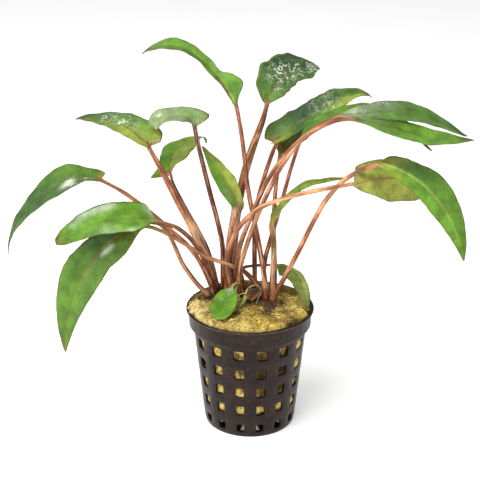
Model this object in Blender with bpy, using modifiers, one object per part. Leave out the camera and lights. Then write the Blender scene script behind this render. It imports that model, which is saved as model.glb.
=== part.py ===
"""A potted cryptocoryne: a rosette aquarium plant in a slotted net pot packed with rock wool.

Lengths are metres and +Z is up. The origin is the middle of the pot's underside, and -Y is the front.
The leaves are laid out as they are seen from the front and a little above, because that is how a
plant is looked at. A leaf point is given as millimetres across and up in a plane square to that line
of sight, just above the middle of the pot's rim, and millimetres behind the pot's axis.
"""
import math

import bmesh
import bpy
from mathutils import Vector

MM = 0.001

# Net pot
POT_HEIGHT = 49 * MM
RIM_RADIUS = 25.2 * MM
COLLAR_TOP_RADIUS = 24.4 * MM
COLLAR_FOOT_RADIUS = 24.1 * MM
COLLAR_HEIGHT = 7 * MM
LIP_HEIGHT = 1 * MM
WALL_TOP_RADIUS = 22.5 * MM
BASE_RADIUS = 18.2 * MM
WALL_THICKNESS = 1.2 * MM
WINDOW_COLUMNS = 15
WINDOW_ROWS = 5
WINDOW_PITCH = 8.35 * MM
TOP_WINDOW_HEIGHT = 37.4 * MM
TOP_WINDOW_SIZE = (4.1 * MM, 3.9 * MM)
FOOT_WINDOW_SIZE = (2.6 * MM, 3 * MM)
FIRST_WINDOW_TURN = math.radians(-12)
BASE_SLOT_RADII = (7 * MM, 14.5 * MM)

# Rock wool
GAP = 0.35 * MM
WOOL_INSET = WALL_THICKNESS + GAP + 0.4 * MM
WOOL_SEGMENTS = 30
WOOL_FOOT = 10.5 * MM
WOOL_TOP = POT_HEIGHT + 0.1 * MM
WOOL_DOME = 0.5 * MM
WOOL_LUMP = 0.3 * MM
WOOL_BULGE = 0.9 * MM
WOOL_TOP_RINGS = (20.5 * MM, 16.5 * MM, 12 * MM, 7 * MM)

# Leaves
SIDES = 8
STALK_FLATNESS = 0.9
BLADE_HALF_THICKNESS = 0.4 * MM
BLADE_NECK = 5 * MM
BLADE_SHARES = (0.035, 0.11, 0.22, 0.34, 0.47, 0.6, 0.73, 0.85, 0.94, 1)
THINNEST_HALF = 0.2 * MM
LOBE_START = 1.5 * MM
LOBE_SHARE = 0.35
CURVE_CHORDS = 200

# Line of sight that the leaf points are given in
SIGHT_TILT = math.radians(20.8)
SIGHT_DISTANCE = 400 * MM
SIGHT_ACROSS = -3.95 * MM
SIGHT_UP = 23.3 * MM
SIGHT_ABOVE_RIM = 2.5 * MM


def clear_scene():
    for thing in list(bpy.data.objects):
        bpy.data.objects.remove(thing)


def make_material(name, colour, roughness):
    material = bpy.data.materials.new(name)
    material.use_nodes = True
    shader = material.node_tree.nodes["Principled BSDF"]
    shader.inputs["Base Color"].default_value = (*colour, 1)
    shader.inputs["Roughness"].default_value = roughness
    shader.inputs["Metallic"].default_value = 0
    return material


def add_part(name, shape, material, sharp_angle):
    """Turns a bmesh into a named object of the plant's collection."""
    bmesh.ops.recalc_face_normals(shape, faces=shape.faces)
    mesh = bpy.data.meshes.new(name)
    shape.to_mesh(mesh)
    shape.free()
    mesh.materials.append(material)
    mesh.shade_smooth()
    mesh.set_sharp_from_angle(angle=math.radians(sharp_angle))
    part = bpy.data.objects.new(name, mesh)
    plant.objects.link(part)
    return part


def mix(start, end, share):
    return start + (end - start) * share


def seen(across, up, behind):
    """World place of a leaf point: the line of sight through across, up meets the depth behind."""
    right = Vector((1, 0, 0))
    upward = Vector((0, math.sin(SIGHT_TILT), math.cos(SIGHT_TILT)))
    forward = Vector((0, math.cos(SIGHT_TILT), -math.sin(SIGHT_TILT)))
    middle = Vector((0, 0, POT_HEIGHT)) + upward * SIGHT_ABOVE_RIM
    eye = middle + right * SIGHT_ACROSS + upward * SIGHT_UP - forward * SIGHT_DISTANCE
    on_plane = middle + right * across * MM + upward * up * MM
    reach = (behind * MM - eye.y) / (on_plane.y - eye.y)
    return eye + (on_plane - eye) * reach


def pot_outline():
    """Radius and height of the pot's outside, from the middle of the base to the rim."""
    outline = [(0, 0), (BASE_SLOT_RADII[0], 0), (BASE_SLOT_RADII[1], 0), (BASE_RADIUS, 0)]
    wall_top = POT_HEIGHT - COLLAR_HEIGHT
    for row in reversed(range(WINDOW_ROWS)):
        middle = TOP_WINDOW_HEIGHT - row * WINDOW_PITCH
        height = mix(TOP_WINDOW_SIZE[1], FOOT_WINDOW_SIZE[1], row / (WINDOW_ROWS - 1))
        for level in (middle - height / 2, middle + height / 2):
            outline.append((mix(BASE_RADIUS, WALL_TOP_RADIUS, level / wall_top), level))
    outline.append((WALL_TOP_RADIUS, wall_top - 0.4 * MM))
    outline.append((COLLAR_FOOT_RADIUS, wall_top))
    outline.append((COLLAR_TOP_RADIUS, POT_HEIGHT - LIP_HEIGHT))
    outline.append((RIM_RADIUS, POT_HEIGHT - LIP_HEIGHT * 0.7))
    outline.append((RIM_RADIUS, POT_HEIGHT))
    return outline


def window_half_angle(height):
    """Half the angle that a window takes up, which narrows towards the base."""
    share = min(1, max(0, height / TOP_WINDOW_HEIGHT))
    radius = mix(BASE_RADIUS, WALL_TOP_RADIUS, share)
    return mix(FOOT_WINDOW_SIZE[0], TOP_WINDOW_SIZE[0], share) / 2 / radius


def make_pot():
    """A flat grid wrapped round into a tapered cup, opened at its windows and given its thickness."""
    outline = pot_outline()
    columns = 2 * WINDOW_COLUMNS
    rows = len(outline) - 1
    base_slot_row = 1
    window_rows = range(4, 4 + 2 * WINDOW_ROWS, 2)
    shape = bmesh.new()
    bmesh.ops.create_grid(shape, x_segments=columns, y_segments=rows, size=1)
    opening_faces = []
    for face in shape.faces:
        middle = face.calc_center_median()
        column = int((middle.x + 1) / 2 * columns)
        row = int((middle.y + 1) / 2 * rows)
        if column % 2 == 0 and (row in window_rows or row == base_slot_row):
            opening_faces.append(face)
    for vertex in shape.verts:
        column = round((vertex.co.x + 1) / 2 * columns)
        radius, height = outline[round((vertex.co.y + 1) / 2 * rows)]
        window_middle = FIRST_WINDOW_TURN - math.pi / 2 + column // 2 * math.tau / WINDOW_COLUMNS
        side = -1 if column % 2 == 0 else 1
        angle = window_middle + side * window_half_angle(height)
        vertex.co = (radius * math.cos(angle), radius * math.sin(angle), height)
    bmesh.ops.delete(shape, geom=opening_faces, context="FACES")
    bmesh.ops.remove_doubles(shape, verts=shape.verts, dist=0.001 * MM)
    mesh = bpy.data.meshes.new("net_pot")
    shape.to_mesh(mesh)
    shape.free()
    mesh.materials.append(make_material("black_plastic", (0.045, 0.036, 0.035), 0.42))
    mesh.shade_smooth()
    mesh.set_sharp_from_angle(angle=math.radians(30))
    pot = bpy.data.objects.new("net_pot", mesh)
    plant.objects.link(pot)
    wall = pot.modifiers.new("wall", "SOLIDIFY")
    wall.thickness = WALL_THICKNESS
    wall.offset = -1
    wall.use_even_offset = True
    wall.use_rim = True


def wool_height(x, y):
    """Lumpy top of the wool: a low dome with waves across it."""
    dome = 1 - (math.hypot(x, y) / RIM_RADIUS) ** 2
    waves = math.sin(x / (3.1 * MM) + 0.6) * math.cos(y / (3.7 * MM) - 0.4)
    return WOOL_TOP + WOOL_DOME * dome + WOOL_LUMP * waves


def make_wool():
    """A plug turned from a profile that follows the pot's inside, with a lumpy top."""
    wall_top = POT_HEIGHT - COLLAR_HEIGHT
    foot_radius = mix(BASE_RADIUS, WALL_TOP_RADIUS, WOOL_FOOT / wall_top) - WOOL_INSET
    neck_radius = WALL_TOP_RADIUS - WOOL_INSET
    collar_radius = COLLAR_FOOT_RADIUS - WOOL_INSET
    profile = [(foot_radius * 0.8, WOOL_FOOT), (foot_radius, WOOL_FOOT + 1.5 * MM)]
    profile.append((neck_radius, wall_top + 0.2 * MM))
    profile.append((collar_radius, wall_top + 2.6 * MM))
    profile.append((collar_radius, WOOL_TOP - 0.8 * MM))
    profile.append((collar_radius - 0.3 * MM, WOOL_TOP + 0.5 * MM))
    shape = bmesh.new()
    rings = []
    for radius, height in profile:
        ring = bmesh.ops.create_circle(shape, segments=WOOL_SEGMENTS, radius=radius)["verts"]
        for vertex in ring:
            vertex.co.z = height
        rings.append(ring)
    for vertex in rings[-1]:
        leftness = max(0, -vertex.co.x / vertex.co.xy.length - 0.55) / 0.45
        vertex.co.xy *= 1 + WOOL_BULGE / collar_radius * leftness
        vertex.co.z += WOOL_BULGE * leftness
    for radius in WOOL_TOP_RINGS:
        ring = bmesh.ops.create_circle(shape, segments=WOOL_SEGMENTS, radius=radius)["verts"]
        for vertex in ring:
            vertex.co.z = wool_height(vertex.co.x, vertex.co.y)
        rings.append(ring)
    skin(shape, rings)
    top = shape.verts.new((0, 0, wool_height(0, 0)))
    bottom = shape.verts.new((0, 0, WOOL_FOOT))
    for index in range(WOOL_SEGMENTS):
        following = (index + 1) % WOOL_SEGMENTS
        shape.faces.new((rings[-1][index], rings[-1][following], top))
        shape.faces.new((rings[0][following], rings[0][index], bottom))
    add_part("rock_wool", shape, make_material("rock_wool", (0.36, 0.25, 0.07), 0.95), 60)


def skin(shape, rings):
    """Joins each ring of vertices to the next with quads."""
    count = len(rings[0])
    for lower, upper in zip(rings, rings[1:]):
        for index in range(count):
            following = (index + 1) % count
            shape.faces.new((lower[index], lower[following], upper[following], upper[index]))


def make_crown(name, middle, radii):
    """A knob of rootstock on the wool: the top of a flattened ball, cut off flat underneath.

    middle is (x, y, height above the rim) and radii its three half sizes, in millimetres.
    """
    shape = bmesh.new()
    bmesh.ops.create_uvsphere(shape, u_segments=12, v_segments=8, radius=1)
    bmesh.ops.bisect_plane(
        shape, geom=shape.verts[:] + shape.edges[:] + shape.faces[:], dist=0.001, clear_inner=True,
        plane_co=(0, 0, 0), plane_no=(0, 0, 1))
    rim = [edge for edge in shape.edges if edge.is_boundary]
    bmesh.ops.holes_fill(shape, edges=rim, sides=0)
    foot = Vector(middle) * MM + Vector((0, 0, POT_HEIGHT))
    for vertex in shape.verts:
        knobs = 1 + 0.07 * math.sin(5 * vertex.co.x + 2) * math.cos(4 * vertex.co.y)
        across = vertex.co.x * radii[0] * knobs
        along = vertex.co.y * radii[1] * knobs
        vertex.co = foot + Vector((across, along, vertex.co.z * radii[2])) * MM
    add_part(name, shape, crown_brown, 40)


def curve_point(rows, place):
    """Smooth curve through rows of numbers, at a place counted in rows (Catmull-Rom)."""
    start = min(int(place), len(rows) - 2)
    share = place - start
    before = rows[max(start - 1, 0)]
    first = rows[start]
    second = rows[start + 1]
    after = rows[min(start + 2, len(rows) - 1)]
    result = []
    for a, b, c, d in zip(before, first, second, after):
        bend = (2 * a - 5 * b + 4 * c - d) * share ** 2 + (3 * b - a - 3 * c + d) * share ** 3
        result.append(b + 0.5 * ((c - a) * share + bend))
    return result


def blade_stations(rows, neck):
    """Places of a blade's rings along the rows, each with how far into the blade it is."""
    fine = [mix(neck, len(rows) - 1, chord / CURVE_CHORDS) for chord in range(CURVE_CHORDS + 1)]
    points = [Vector(curve_point(rows, place)[:3]) for place in fine]
    lengths = [0]
    for previous, point in zip(points, points[1:]):
        lengths.append(lengths[-1] + (point - previous).length)
    stations = []
    for share in BLADE_SHARES:
        wanted = lengths[-1] * share
        nearest = min(range(len(fine)), key=lambda chord: abs(lengths[chord] - wanted))
        stations.append((fine[nearest], lengths[nearest]))
    return stations


def leaf_frame(rows, place, heading):
    """Forward, rightward and topward directions of the leaf at a place, after its roll."""
    ahead = Vector(curve_point(rows, min(place + 0.05, len(rows) - 1))[:3])
    back = Vector(curve_point(rows, max(place - 0.05, 0))[:3])
    forward = (ahead - back).normalized()
    level_right = heading.cross(Vector((0, 0, 1)))
    right = (level_right - forward * level_right.dot(forward)).normalized()
    top = right.cross(forward)
    roll = math.radians(curve_point(rows, place)[5])
    rolled_right = right * math.cos(roll) + top * math.sin(roll)
    rolled_top = top * math.cos(roll) - right * math.sin(roll)
    return forward, rolled_right, rolled_top


def stalk_half_width(widths, share):
    """Half of the stalk's width at a share of its length, from widths spread evenly along it."""
    place = share * (len(widths) - 1)
    start = min(int(place), len(widths) - 2)
    return mix(widths[start], widths[start + 1], place - start) / 2 * MM


def make_leaf(name, stalk_widths, stalk, blade, material, cup=0.12, lobe=0):
    """One leaf as one loft, from the round foot of its stalk to the flat tip of its blade.

    stalk_widths are the stalk's widths in millimetres from its foot to its top. A stalk point is
    (across, up, behind). A blade point adds the half width left and right of the midrib, looking
    along the leaf, and the roll in degrees that lifts the right edge. cup is how much the edges
    rise for each millimetre of half width, and lobe is how far the blade's base reaches back.
    """
    neck = len(stalk) - 1
    rows = []
    for index, point in enumerate(stalk):
        half = stalk_half_width(stalk_widths, index / neck)
        rows.append((*seen(*point), half, half, 0))
    for across, up, behind, left, right, roll in blade:
        rows.append((*seen(across, up, behind), left * MM, right * MM, roll))
    heading = Vector(rows[-1][:3]) - Vector(rows[neck][:3])
    heading = Vector((heading.x, heading.y, 0)).normalized()
    stations = [(place, 0) for place in range(neck + 1)] + blade_stations(rows, neck)
    blade_length = stations[-1][1]
    shape = bmesh.new()
    rings = []
    for place, into_blade in stations:
        x, y, z, left_half, right_half, _ = curve_point(rows, place)
        left_half = max(THINNEST_HALF, left_half)
        right_half = max(THINNEST_HALF, right_half)
        forward, right, top = leaf_frame(rows, place, heading)
        stalk_half = stalk_half_width(stalk_widths, min(1, place / neck))
        flat = min(1, into_blade / BLADE_NECK)
        thickness = mix(stalk_half * STALK_FLATNESS, BLADE_HALF_THICKNESS, flat)
        fade = max(0, 1 - into_blade / blade_length / LOBE_SHARE)
        swept = lobe * MM * min(1, into_blade / LOBE_START) * fade
        ring = []
        for side in range(SIDES):
            angle = math.tau * side / SIDES
            sideways = math.cos(angle)
            reach = sideways * (right_half if sideways > 0 else left_half)
            rise = math.sin(angle) * thickness + abs(reach) * cup * flat
            point = Vector((x, y, z)) + right * reach + top * rise - forward * swept * sideways ** 2
            ring.append(shape.verts.new(point))
        rings.append(ring)
    skin(shape, rings)
    shape.faces.new(reversed(rings[0]))
    shape.faces.new(rings[-1])
    add_part(name, shape, material, 70)


clear_scene()
plant = bpy.data.collections.new("potted_cryptocoryne")
bpy.context.scene.collection.children.link(plant)

leaf_green = make_material("leaf_green", (0.13, 0.29, 0.06), 0.4)
young_green = make_material("young_green", (0.26, 0.42, 0.07), 0.4)
crown_brown = make_material("crown_brown", (0.12, 0.05, 0.025), 0.7)
papery_brown = make_material("papery_brown", (0.2, 0.1, 0.06), 0.6)

make_pot()
make_wool()

make_crown("crown_left", (-15.2, 9.2, 1.4), (3.1, 7.2, 1.9))
make_crown("crown_centre", (-7.2, 10.0, 1.3), (4.2, 6.4, 2.3))
make_crown("crown_right", (7.4, 1.4, 1.3), (3.6, 9.2, 2.4))
make_crown("crown_back", (1.8, 14.6, 1.3), (2.6, 3.6, 1.9))

# Leaves that reach out to the left
make_leaf(
    "leaf_far_left", (2.2, 1.7),
    [(-15, 4.2, 6.9), (-17.1, 9.3, 6), (-20.4, 15.7, 4.8), (-25, 21.5, 3.6), (-31, 26.9, 3.3),
     (-38.5, 33.5, 2.9), (-49, 41.5, 1), (-58.5, 46.8, -1.5)],
    [(-60.3, 47.3, -2, 1.4, 4.5, 14), (-66, 48.6, -2.8, 5.2, 5.2, 14), (-72.5, 47.4, -4, 8, 8, 19),
     (-80, 42.5, -5.5, 7.2, 7.2, 18), (-87, 35.8, -7, 5.8, 5.8, 12), (-92.5, 29, -8, 3.6, 3.6, 11),
     (-95.3, 22, -8.5, 1.2, 1.2, 10), (-95.6, 17.5, -8.7, 0.25, 0.25, 9)],
    leaf_green)
make_leaf(
    "leaf_mid_left", (2.3, 1.7),
    [(-14, 5.2, 9.5), (-16, 11, 8.6), (-18.2, 15.8, 5.9), (-21, 20.6, 3.5), (-24.5, 24.8, 1),
     (-29, 28.2, -1.5), (-33, 29.6, -3.5), (-36.5, 30.6, -4.7)],
    [(-38.8, 31.3, -5.5, 1.8, 4.5, 21), (-41.5, 31.9, -6.5, 5, 7.6, 23),
     (-47, 31.9, -7.8, 8.2, 8.2, 23), (-55, 31.3, -9.5, 8.4, 8.4, 23),
     (-63, 29.4, -10.8, 6.9, 6.9, 23), (-70, 25.9, -11.8, 4.2, 4.2, 21),
     (-74.5, 23.3, -12.5, 1.6, 1.6, 19), (-76.8, 22.3, -12.8, 0.3, 0.3, 18)],
    leaf_green)
make_leaf(
    "leaf_under_left", (2.1, 1.6),
    [(-17.9, 2.9, 3.1), (-21.1, 6.2, 2.5), (-24, 10, 1.8), (-26.7, 14, 0.5), (-28.5, 18, -0.5),
     (-30.3, 22, -1.3), (-32.5, 26.3, -1.5), (-35.5, 29.4, -1)],
    [(-38, 30.3, -0.3, 1.6, 1.6, 11), (-42.5, 31, 2, 4.5, 4.5, 11), (-48, 31.3, 6.5, 5.8, 5.8, 11),
     (-54, 30.7, 9, 5.4, 5.4, 11), (-60, 29, 11, 3.4, 3.4, 11), (-64.5, 27, 12.5, 0.3, 0.3, 11)],
    leaf_green)
make_leaf(
    "leaf_low_left", (1.9, 1.6),
    [(-2.8, 6.2, 12.1), (-3.6, 10, 10), (-5, 11.8, 7.4), (-8.7, 13.6, 3.3), (-12.5, 14.9, 1.9),
     (-18.5, 17.3, 0.2), (-25, 21.3, -2.3), (-31, 24.8, -4.5), (-36.5, 27.5, -5.5), (-41, 28.7, -5.3)],
    [(-44.5, 28.6, -4.5, 2.2, 2.2, 36), (-48.5, 26.8, -4, 5, 5.2, 50),
     (-54, 23, -4.5, 6.8, 7.6, 62), (-60.5, 17, -5.5, 7.2, 8.4, 64), (-66, 9, -6.5, 7.6, 8.6, 62),
     (-70, 0, -7.5, 6.4, 7, 60), (-72.3, -9, -8.5, 4.2, 4.4, 60), (-73, -16.5, -9, 2, 2, 60),
     (-73, -21, -9.3, 0.3, 0.3, 60)],
    leaf_green)
make_leaf(
    "leaf_upper_left", (2.4, 3.4, 4.4, 3, 2),
    [(-13.5, 6.1, 11.8), (-14.5, 10.5, 11.8), (-16, 15, 11.9), (-18.6, 20, 12.1), (-21.5, 26, 12.5),
     (-25, 32.5, 13.5), (-29.5, 40.5, 15), (-35, 51, 17), (-40, 60, 18.5)],
    [(-41, 61.5, 19.5, 2, 4, 26), (-42.5, 63, 21, 3.4, 7, 28), (-45.5, 65.8, 24.5, 4.4, 7.6, 25),
     (-50, 68.6, 29.5, 5.2, 7.2, 21), (-56, 70.6, 34.5, 4.8, 5.8, 17), (-62, 71.5, 38.5, 3.6, 3.6, 17),
     (-66.5, 71.6, 41, 1.6, 1.6, 17), (-69, 71.2, 42.5, 0.3, 0.3, 17)],
    leaf_green, lobe=4)
make_leaf(
    "leaf_inner_left", (2.3, 1.9),
    [(-10.7, 6.8, 13.2), (-10.7, 15, 13), (-11, 22, 13.1), (-13, 31.5, 13.5), (-15.7, 41.5, 13.7),
     (-18.3, 52, 14), (-20.5, 61, 14.3), (-21.8, 67.5, 14.5)],
    [(-22.3, 70, 14.8, 2, 3, 17), (-23.5, 71.2, 15.3, 4, 5.5, 17), (-27.5, 72.6, 17, 5.5, 5.5, 17),
     (-32.5, 72.2, 18.6, 6, 5.5, 15), (-37, 70.8, 19.7, 5, 4.5, 12), (-39, 68.8, 20.2, 2.8, 2.6, 10),
     (-37.6, 66.3, 20.2, 0.4, 0.4, 10)],
    leaf_green, lobe=3)
make_leaf(
    "leaf_behind_left", (2.0, 1.6),
    [(-13.5, 7.4, 14.8), (-14.5, 12, 15.8), (-17, 20, 17.5), (-20.5, 27, 19.5), (-24.5, 34, 21.5),
     (-28, 40.5, 23), (-30.5, 45.5, 24), (-31.4, 49, 24.8)],
    [(-31.8, 50.8, 26.9, 7, 2, 0), (-32, 53, 29.5, 3.4, 4, 0), (-31.2, 55.5, 32.5, 4.6, 5.5, 0),
     (-29, 58.8, 37.5, 6, 5.5, 0), (-25, 61.8, 42.5, 4.2, 4.2, 0), (-21.5, 64, 46.5, 2, 2, 0),
     (-18.8, 64.2, 49.5, 0.3, 0.3, 0)],
    leaf_green, lobe=3.5)

# Leaves that stand over the middle of the pot
make_leaf(
    "leaf_young_centre", (3.0, 4.4),
    [(-8.9, 5.6, 10.1), (-8.7, 11, 10.3), (-8.3, 17, 10.5), (-7.4, 24, 10.7), (-6.3, 30, 11.1),
     (-5.4, 34.5, 11.9)],
    [(-5.2, 37.4, 13.5, 2.6, 3.2, 68), (-6.7, 40.8, 16.1, 3.6, 4.8, 78), (-8.9, 44.8, 19.1, 4, 5.4, 78),
     (-11.8, 49.5, 21.1, 3.6, 4.6, 78), (-15, 54.5, 22.5, 2.4, 3, 78), (-17.5, 58.5, 23.3, 1.2, 1.2, 78),
     (-19, 60.3, 23.5, 0.3, 0.3, 78)],
    young_green)
make_leaf(
    "leaf_top_left", (2.4, 1.8),
    [(6.3, 1.8, 0.5), (5.8, 8, 2), (4.6, 15.5, 5), (3.3, 23, 8), (1.6, 31.5, 11), (0, 39, 13),
     (-1.3, 47, 15.5), (-2.2, 56, 18.5), (-3.5, 66, 22.5), (-5.2, 75.5, 26.5)],
    [(-6.2, 78, 27.3, 1, 1.8, 78), (-8.3, 82, 28.7, 1.3, 6.8, 78), (-10.5, 85.8, 30, 1.6, 5.2, 78),
     (-13, 89, 31.5, 2.2, 1.8, 60), (-17, 93, 33.5, 3.2, 3.2, 30), (-22, 97, 35.5, 3.6, 4.6, 15),
     (-28, 100, 37, 4.8, 5.4, 15), (-34, 100.4, 38, 5.2, 4.8, 15), (-39.5, 98.8, 38.5, 2.6, 2.4, 18),
     (-42.8, 97, 38.7, 0.3, 0.3, 20)],
    leaf_green)
make_leaf(
    "leaf_top_centre", (2.6, 3.4, 3.8, 3, 2.0),
    [(-7.2, 7.4, 14.7), (-6.3, 20, 17), (-5.2, 33, 19.5), (-3.5, 43.5, 22), (-1, 53.5, 24.5),
     (2, 62.5, 27.5), (4.8, 70, 30), (6.6, 76.5, 32)],
    [(7, 78.2, 32.5, 1.8, 1.8, -38), (9, 82, 34.3, 7.5, 4.5, -46), (12.3, 86.8, 37.3, 9.6, 6, -48),
     (17, 90.2, 40.5, 8.8, 5.8, -43), (22.5, 91.6, 43.5, 4.8, 6.5, -34), (26, 91.5, 45.2, 2.2, 2.2, -29),
     (27.8, 91, 46.3, 0.3, 0.3, -29)],
    leaf_green, lobe=3)

# Leaves that reach out to the right
make_leaf(
    "leaf_back_right", (2.3, 1.9),
    [(1.9, 7.7, 16), (1.8, 15, 17.5), (1.8, 23, 19.5), (2, 32, 21.5), (3.6, 41, 23), (6.2, 50, 25),
     (8.6, 57, 26.5), (10.6, 61.8, 28)],
    [(11.2, 63, 28.5, 2.5, 2, -17), (13.5, 65.3, 29, 6.5, 5, -25), (19, 69.3, 30, 7, 5.5, -27),
     (27, 74.3, 31.5, 7, 5.5, -28), (35, 78.7, 32.8, 6, 5, -26), (42, 81, 33.8, 4, 3.4, -18),
     (46.5, 80.8, 34.5, 1.5, 1.5, -18), (48.3, 79.8, 34.7, 0.3, 0.3, -18)],
    leaf_green, lobe=5)
make_leaf(
    "leaf_hidden_right", (2.1, 1.7),
    [(9.6, 4.6, 7.7), (9.8, 13, 10.5), (9.4, 24, 14.5), (9.5, 34, 18.5), (10, 42, 22),
     (10.7, 49, 25.5), (11.7, 56, 29.5)],
    [(12.3, 58, 31, 1.5, 1.5, -15), (14, 61, 33.5, 5, 5, -16), (17.5, 65, 37.5, 6.5, 6.5, -17),
     (22, 68.5, 41.5, 6, 6, -17), (27, 71, 45, 4, 4, -17), (31, 72, 47.5, 1.8, 1.8, -17),
     (33.5, 72, 49, 0.3, 0.3, -17)],
    leaf_green)
make_leaf(
    "leaf_rear_right", (2.1, 1.7),
    [(5.4, 4.4, 7.3), (5.8, 14.5, 8.3), (7.8, 22.5, 9.5), (10.2, 30.5, 11), (12.3, 37.5, 12.5),
     (14.2, 44.5, 13.7), (16.3, 52, 15), (19.3, 61, 16.3)],
    [(20.5, 63.5, 16.9, 1.5, 1.5, -16), (25, 67.6, 17.9, 4, 3.2, -21), (34, 72, 19, 4.5, 4.5, -21),
     (45, 74, 20, 5, 6, -21), (56, 71.5, 19.5, 5, 6, -17), (64, 66.4, 18.5, 3.5, 3.5, -16),
     (69.5, 60.5, 17.5, 1.5, 1.5, -15), (72, 58.6, 17, 0.3, 0.3, -15)],
    leaf_green)
make_leaf(
    "leaf_upper_right", (2.3, 1.8),
    [(-5.9, 6.1, 11.3), (-5.2, 14, 10.9), (-3.8, 21.5, 10.3), (-1.5, 28, 9.7), (1, 34, 9.1),
     (3.6, 40, 8.5), (6.5, 46, 7.7), (10.3, 52, 6.9), (15.5, 58.5, 5.5), (22, 64.5, 4.5),
     (29, 69.3, 3.5), (35, 72, 3)],
    [(37, 72.6, 2.9, 1.8, 1.8, -17), (42, 73.2, 2.9, 4, 3.5, -17), (49, 73.8, 3, 5.6, 5, -19),
     (57, 74.2, 3.3, 6.2, 7.4, -19), (65, 73.2, 3.5, 6.6, 7, -17), (73, 70.4, 3.5, 5.2, 5.2, -17),
     (80, 67, 3.3, 3, 3, -16), (84, 65, 2.9, 1.3, 1.3, -15), (86, 64.5, 2.5, 0.3, 0.3, -15)],
    leaf_green)
make_leaf(
    "leaf_mid_right", (2.2, 1.8),
    [(-4.6, 4.1, 6.7), (-3.9, 12, 4.8), (-2.2, 18.5, 4.3), (0, 25, 3.7), (2.2, 31, 3.3),
     (4.5, 36.5, 2.9), (7.5, 43, 2.5), (10.7, 49.5, 2.1), (14.5, 55.5, 1.5), (20, 62.5, 0.1),
     (27, 67.5, -1.9), (34, 70.5, -3.5), (40, 71.1, -4.5)],
    [(42.5, 70.9, -4.9, 1.8, 1.8, -17), (48, 70.2, -5.5, 2, 5, -17), (55, 68.4, -6.3, 3, 7.6, -17),
     (62.5, 66.2, -7, 5.5, 7.6, -17), (70, 64.2, -7.5, 5.2, 7, -17), (77, 63.2, -7.8, 4.4, 4.8, -16),
     (83, 62.8, -8, 2.4, 2.6, -16), (88.5, 62.9, -8.1, 0.3, 0.3, -16)],
    leaf_green)
make_leaf(
    "leaf_low_right", (2.3, 1.8),
    [(9.6, 1.3, -0.5), (12, 5.5, -1.3), (15.3, 11.5, -2.3), (19.8, 20, -3.5), (24.5, 29.5, -4.8),
     (29, 37.5, -6), (34, 44, -7.5), (38, 47.5, -8.5)],
    [(40, 48.8, -9, 1.5, 1.5, -23), (44, 51, -9.9, 3.2, 2.4, -28), (50, 52, -11.2, 4, 3.2, -33),
     (57, 51.3, -12.8, 4.8, 3.8, -42), (64, 48.3, -14.2, 6.2, 4.6, -52), (70, 43.6, -15.7, 6.8, 4.8, -60),
     (75.4, 37.2, -17, 6.3, 4.8, -63), (79.8, 29.5, -18.5, 4.8, 3.6, -63),
     (83, 21.5, -19.5, 2.6, 2, -60), (84.6, 15, -20, 0.3, 0.3, -60)],
    leaf_green)
make_leaf(
    "leaf_turned_right", (2.2, 1.7),
    [(-7.6, 4.4, 7.1), (-8.7, 12, 7.1), (-8.6, 19, 6), (-6.3, 25, 4), (-3, 30, 2.2), (0.5, 33.5, 0.5),
     (5, 36.5, -1.5), (10, 38.6, -3.5), (16, 40.5, -6), (24, 42.4, -9.5), (32, 43.9, -12.7),
     (39.5, 45.3, -13.6)],
    [(42, 45.8, -12.9, 1.8, 1.8, 60), (46, 46.4, -10.6, 5, 4, 80), (52, 47.3, -7, 8.5, 6.5, 88),
     (59, 47.3, -4, 9, 6.5, 88), (67, 46.2, -1.5, 7.6, 6, 88), (73, 44, 0, 4.8, 4, 88),
     (77.5, 41.6, 0.5, 2, 2, 88), (80, 40, 0.5, 0.3, 0.3, 88)],
    leaf_green)
make_leaf(
    "leaf_young_right", (2.4, 2.6),
    [(8.7, 2.8, 3.5), (8.9, 10, 3), (9.4, 17, 2.5), (9.3, 24, 2), (8.6, 28.5, 1.7)],
    [(8.7, 30.5, 1.5, 1.2, 1.2, 28), (10.5, 34.3, 1.5, 1.7, 1.7, 38), (14, 38.3, 1.5, 1.9, 1.9, 38),
     (18.5, 42.5, 1.5, 2.2, 2.2, 38), (23.5, 45.2, 1.5, 2.4, 2.4, 33), (29.5, 46.5, 1.5, 2.1, 2.1, 28),
     (35, 47.4, 1.5, 1.2, 1.2, 28), (39.3, 48, 1.5, 0.3, 0.3, 28)],
    young_green, cup=0.5)

# Small leaves low over the wool
make_leaf(
    "leaf_small_front", (1.5, 1.2),
    [(-5.3, 3.4, 4.6), (-4.9, 5.6, 4.4), (-5.6, 6.2, 3.8), (-6.6, 5.4, 3.2)],
    [(-7.5, 4, 2.3, 1.5, 1.5, 0), (-8.7, 2.4, -0.6, 4.1, 4.1, 0), (-9.8, -0.6, -5.4, 5, 4.8, 0),
     (-10.7, -3.8, -11, 4.7, 4.7, 0), (-11.4, -6.6, -16, 3.5, 3.5, 0),
     (-11.8, -8.1, -18.6, 1.3, 1.3, 0)],
    young_green)
make_leaf(
    "leaf_draping_back", (2.3, 1.8, 1.3, 1.3),
    [(2.4, 6.4, 12.7), (0, 8.8, 13.6), (-1.9, 10.6, 14.4), (-2.9, 11.5, 15.4), (-2.7, 12.3, 16.8),
     (-1.2, 12.8, 18.4), (1, 13.1, 20), (5.5, 13.4, 21.4), (10.5, 13.2, 22.4)],
    [(13.4, 12.2, 22.6, 2, 5, 0), (17.2, 10.6, 20.4, 2.5, 6, 0), (19.6, 7.3, 14.3, 2.5, 4.6, 0),
     (21.3, 2.8, 4.4, 2.3, 3, 0), (22.3, -1, -3.5, 1.5, 2, 0), (22.8, -3.5, -8.7, 0.3, 0.3, 0)],
    leaf_green)
make_leaf(
    "tiny_shoot", (0.9, 0.8),
    [(-4, -3.1, -4.6), (-3.4, -2.3, -4.4)],
    [(-3, -1.8, -4, 0.6, 0.6, 60), (-2.2, -0.4, -3.8, 0.8, 0.8, 60), (-1.3, 0.9, -3.6, 0.25, 0.25, 60)],
    young_green)
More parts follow.
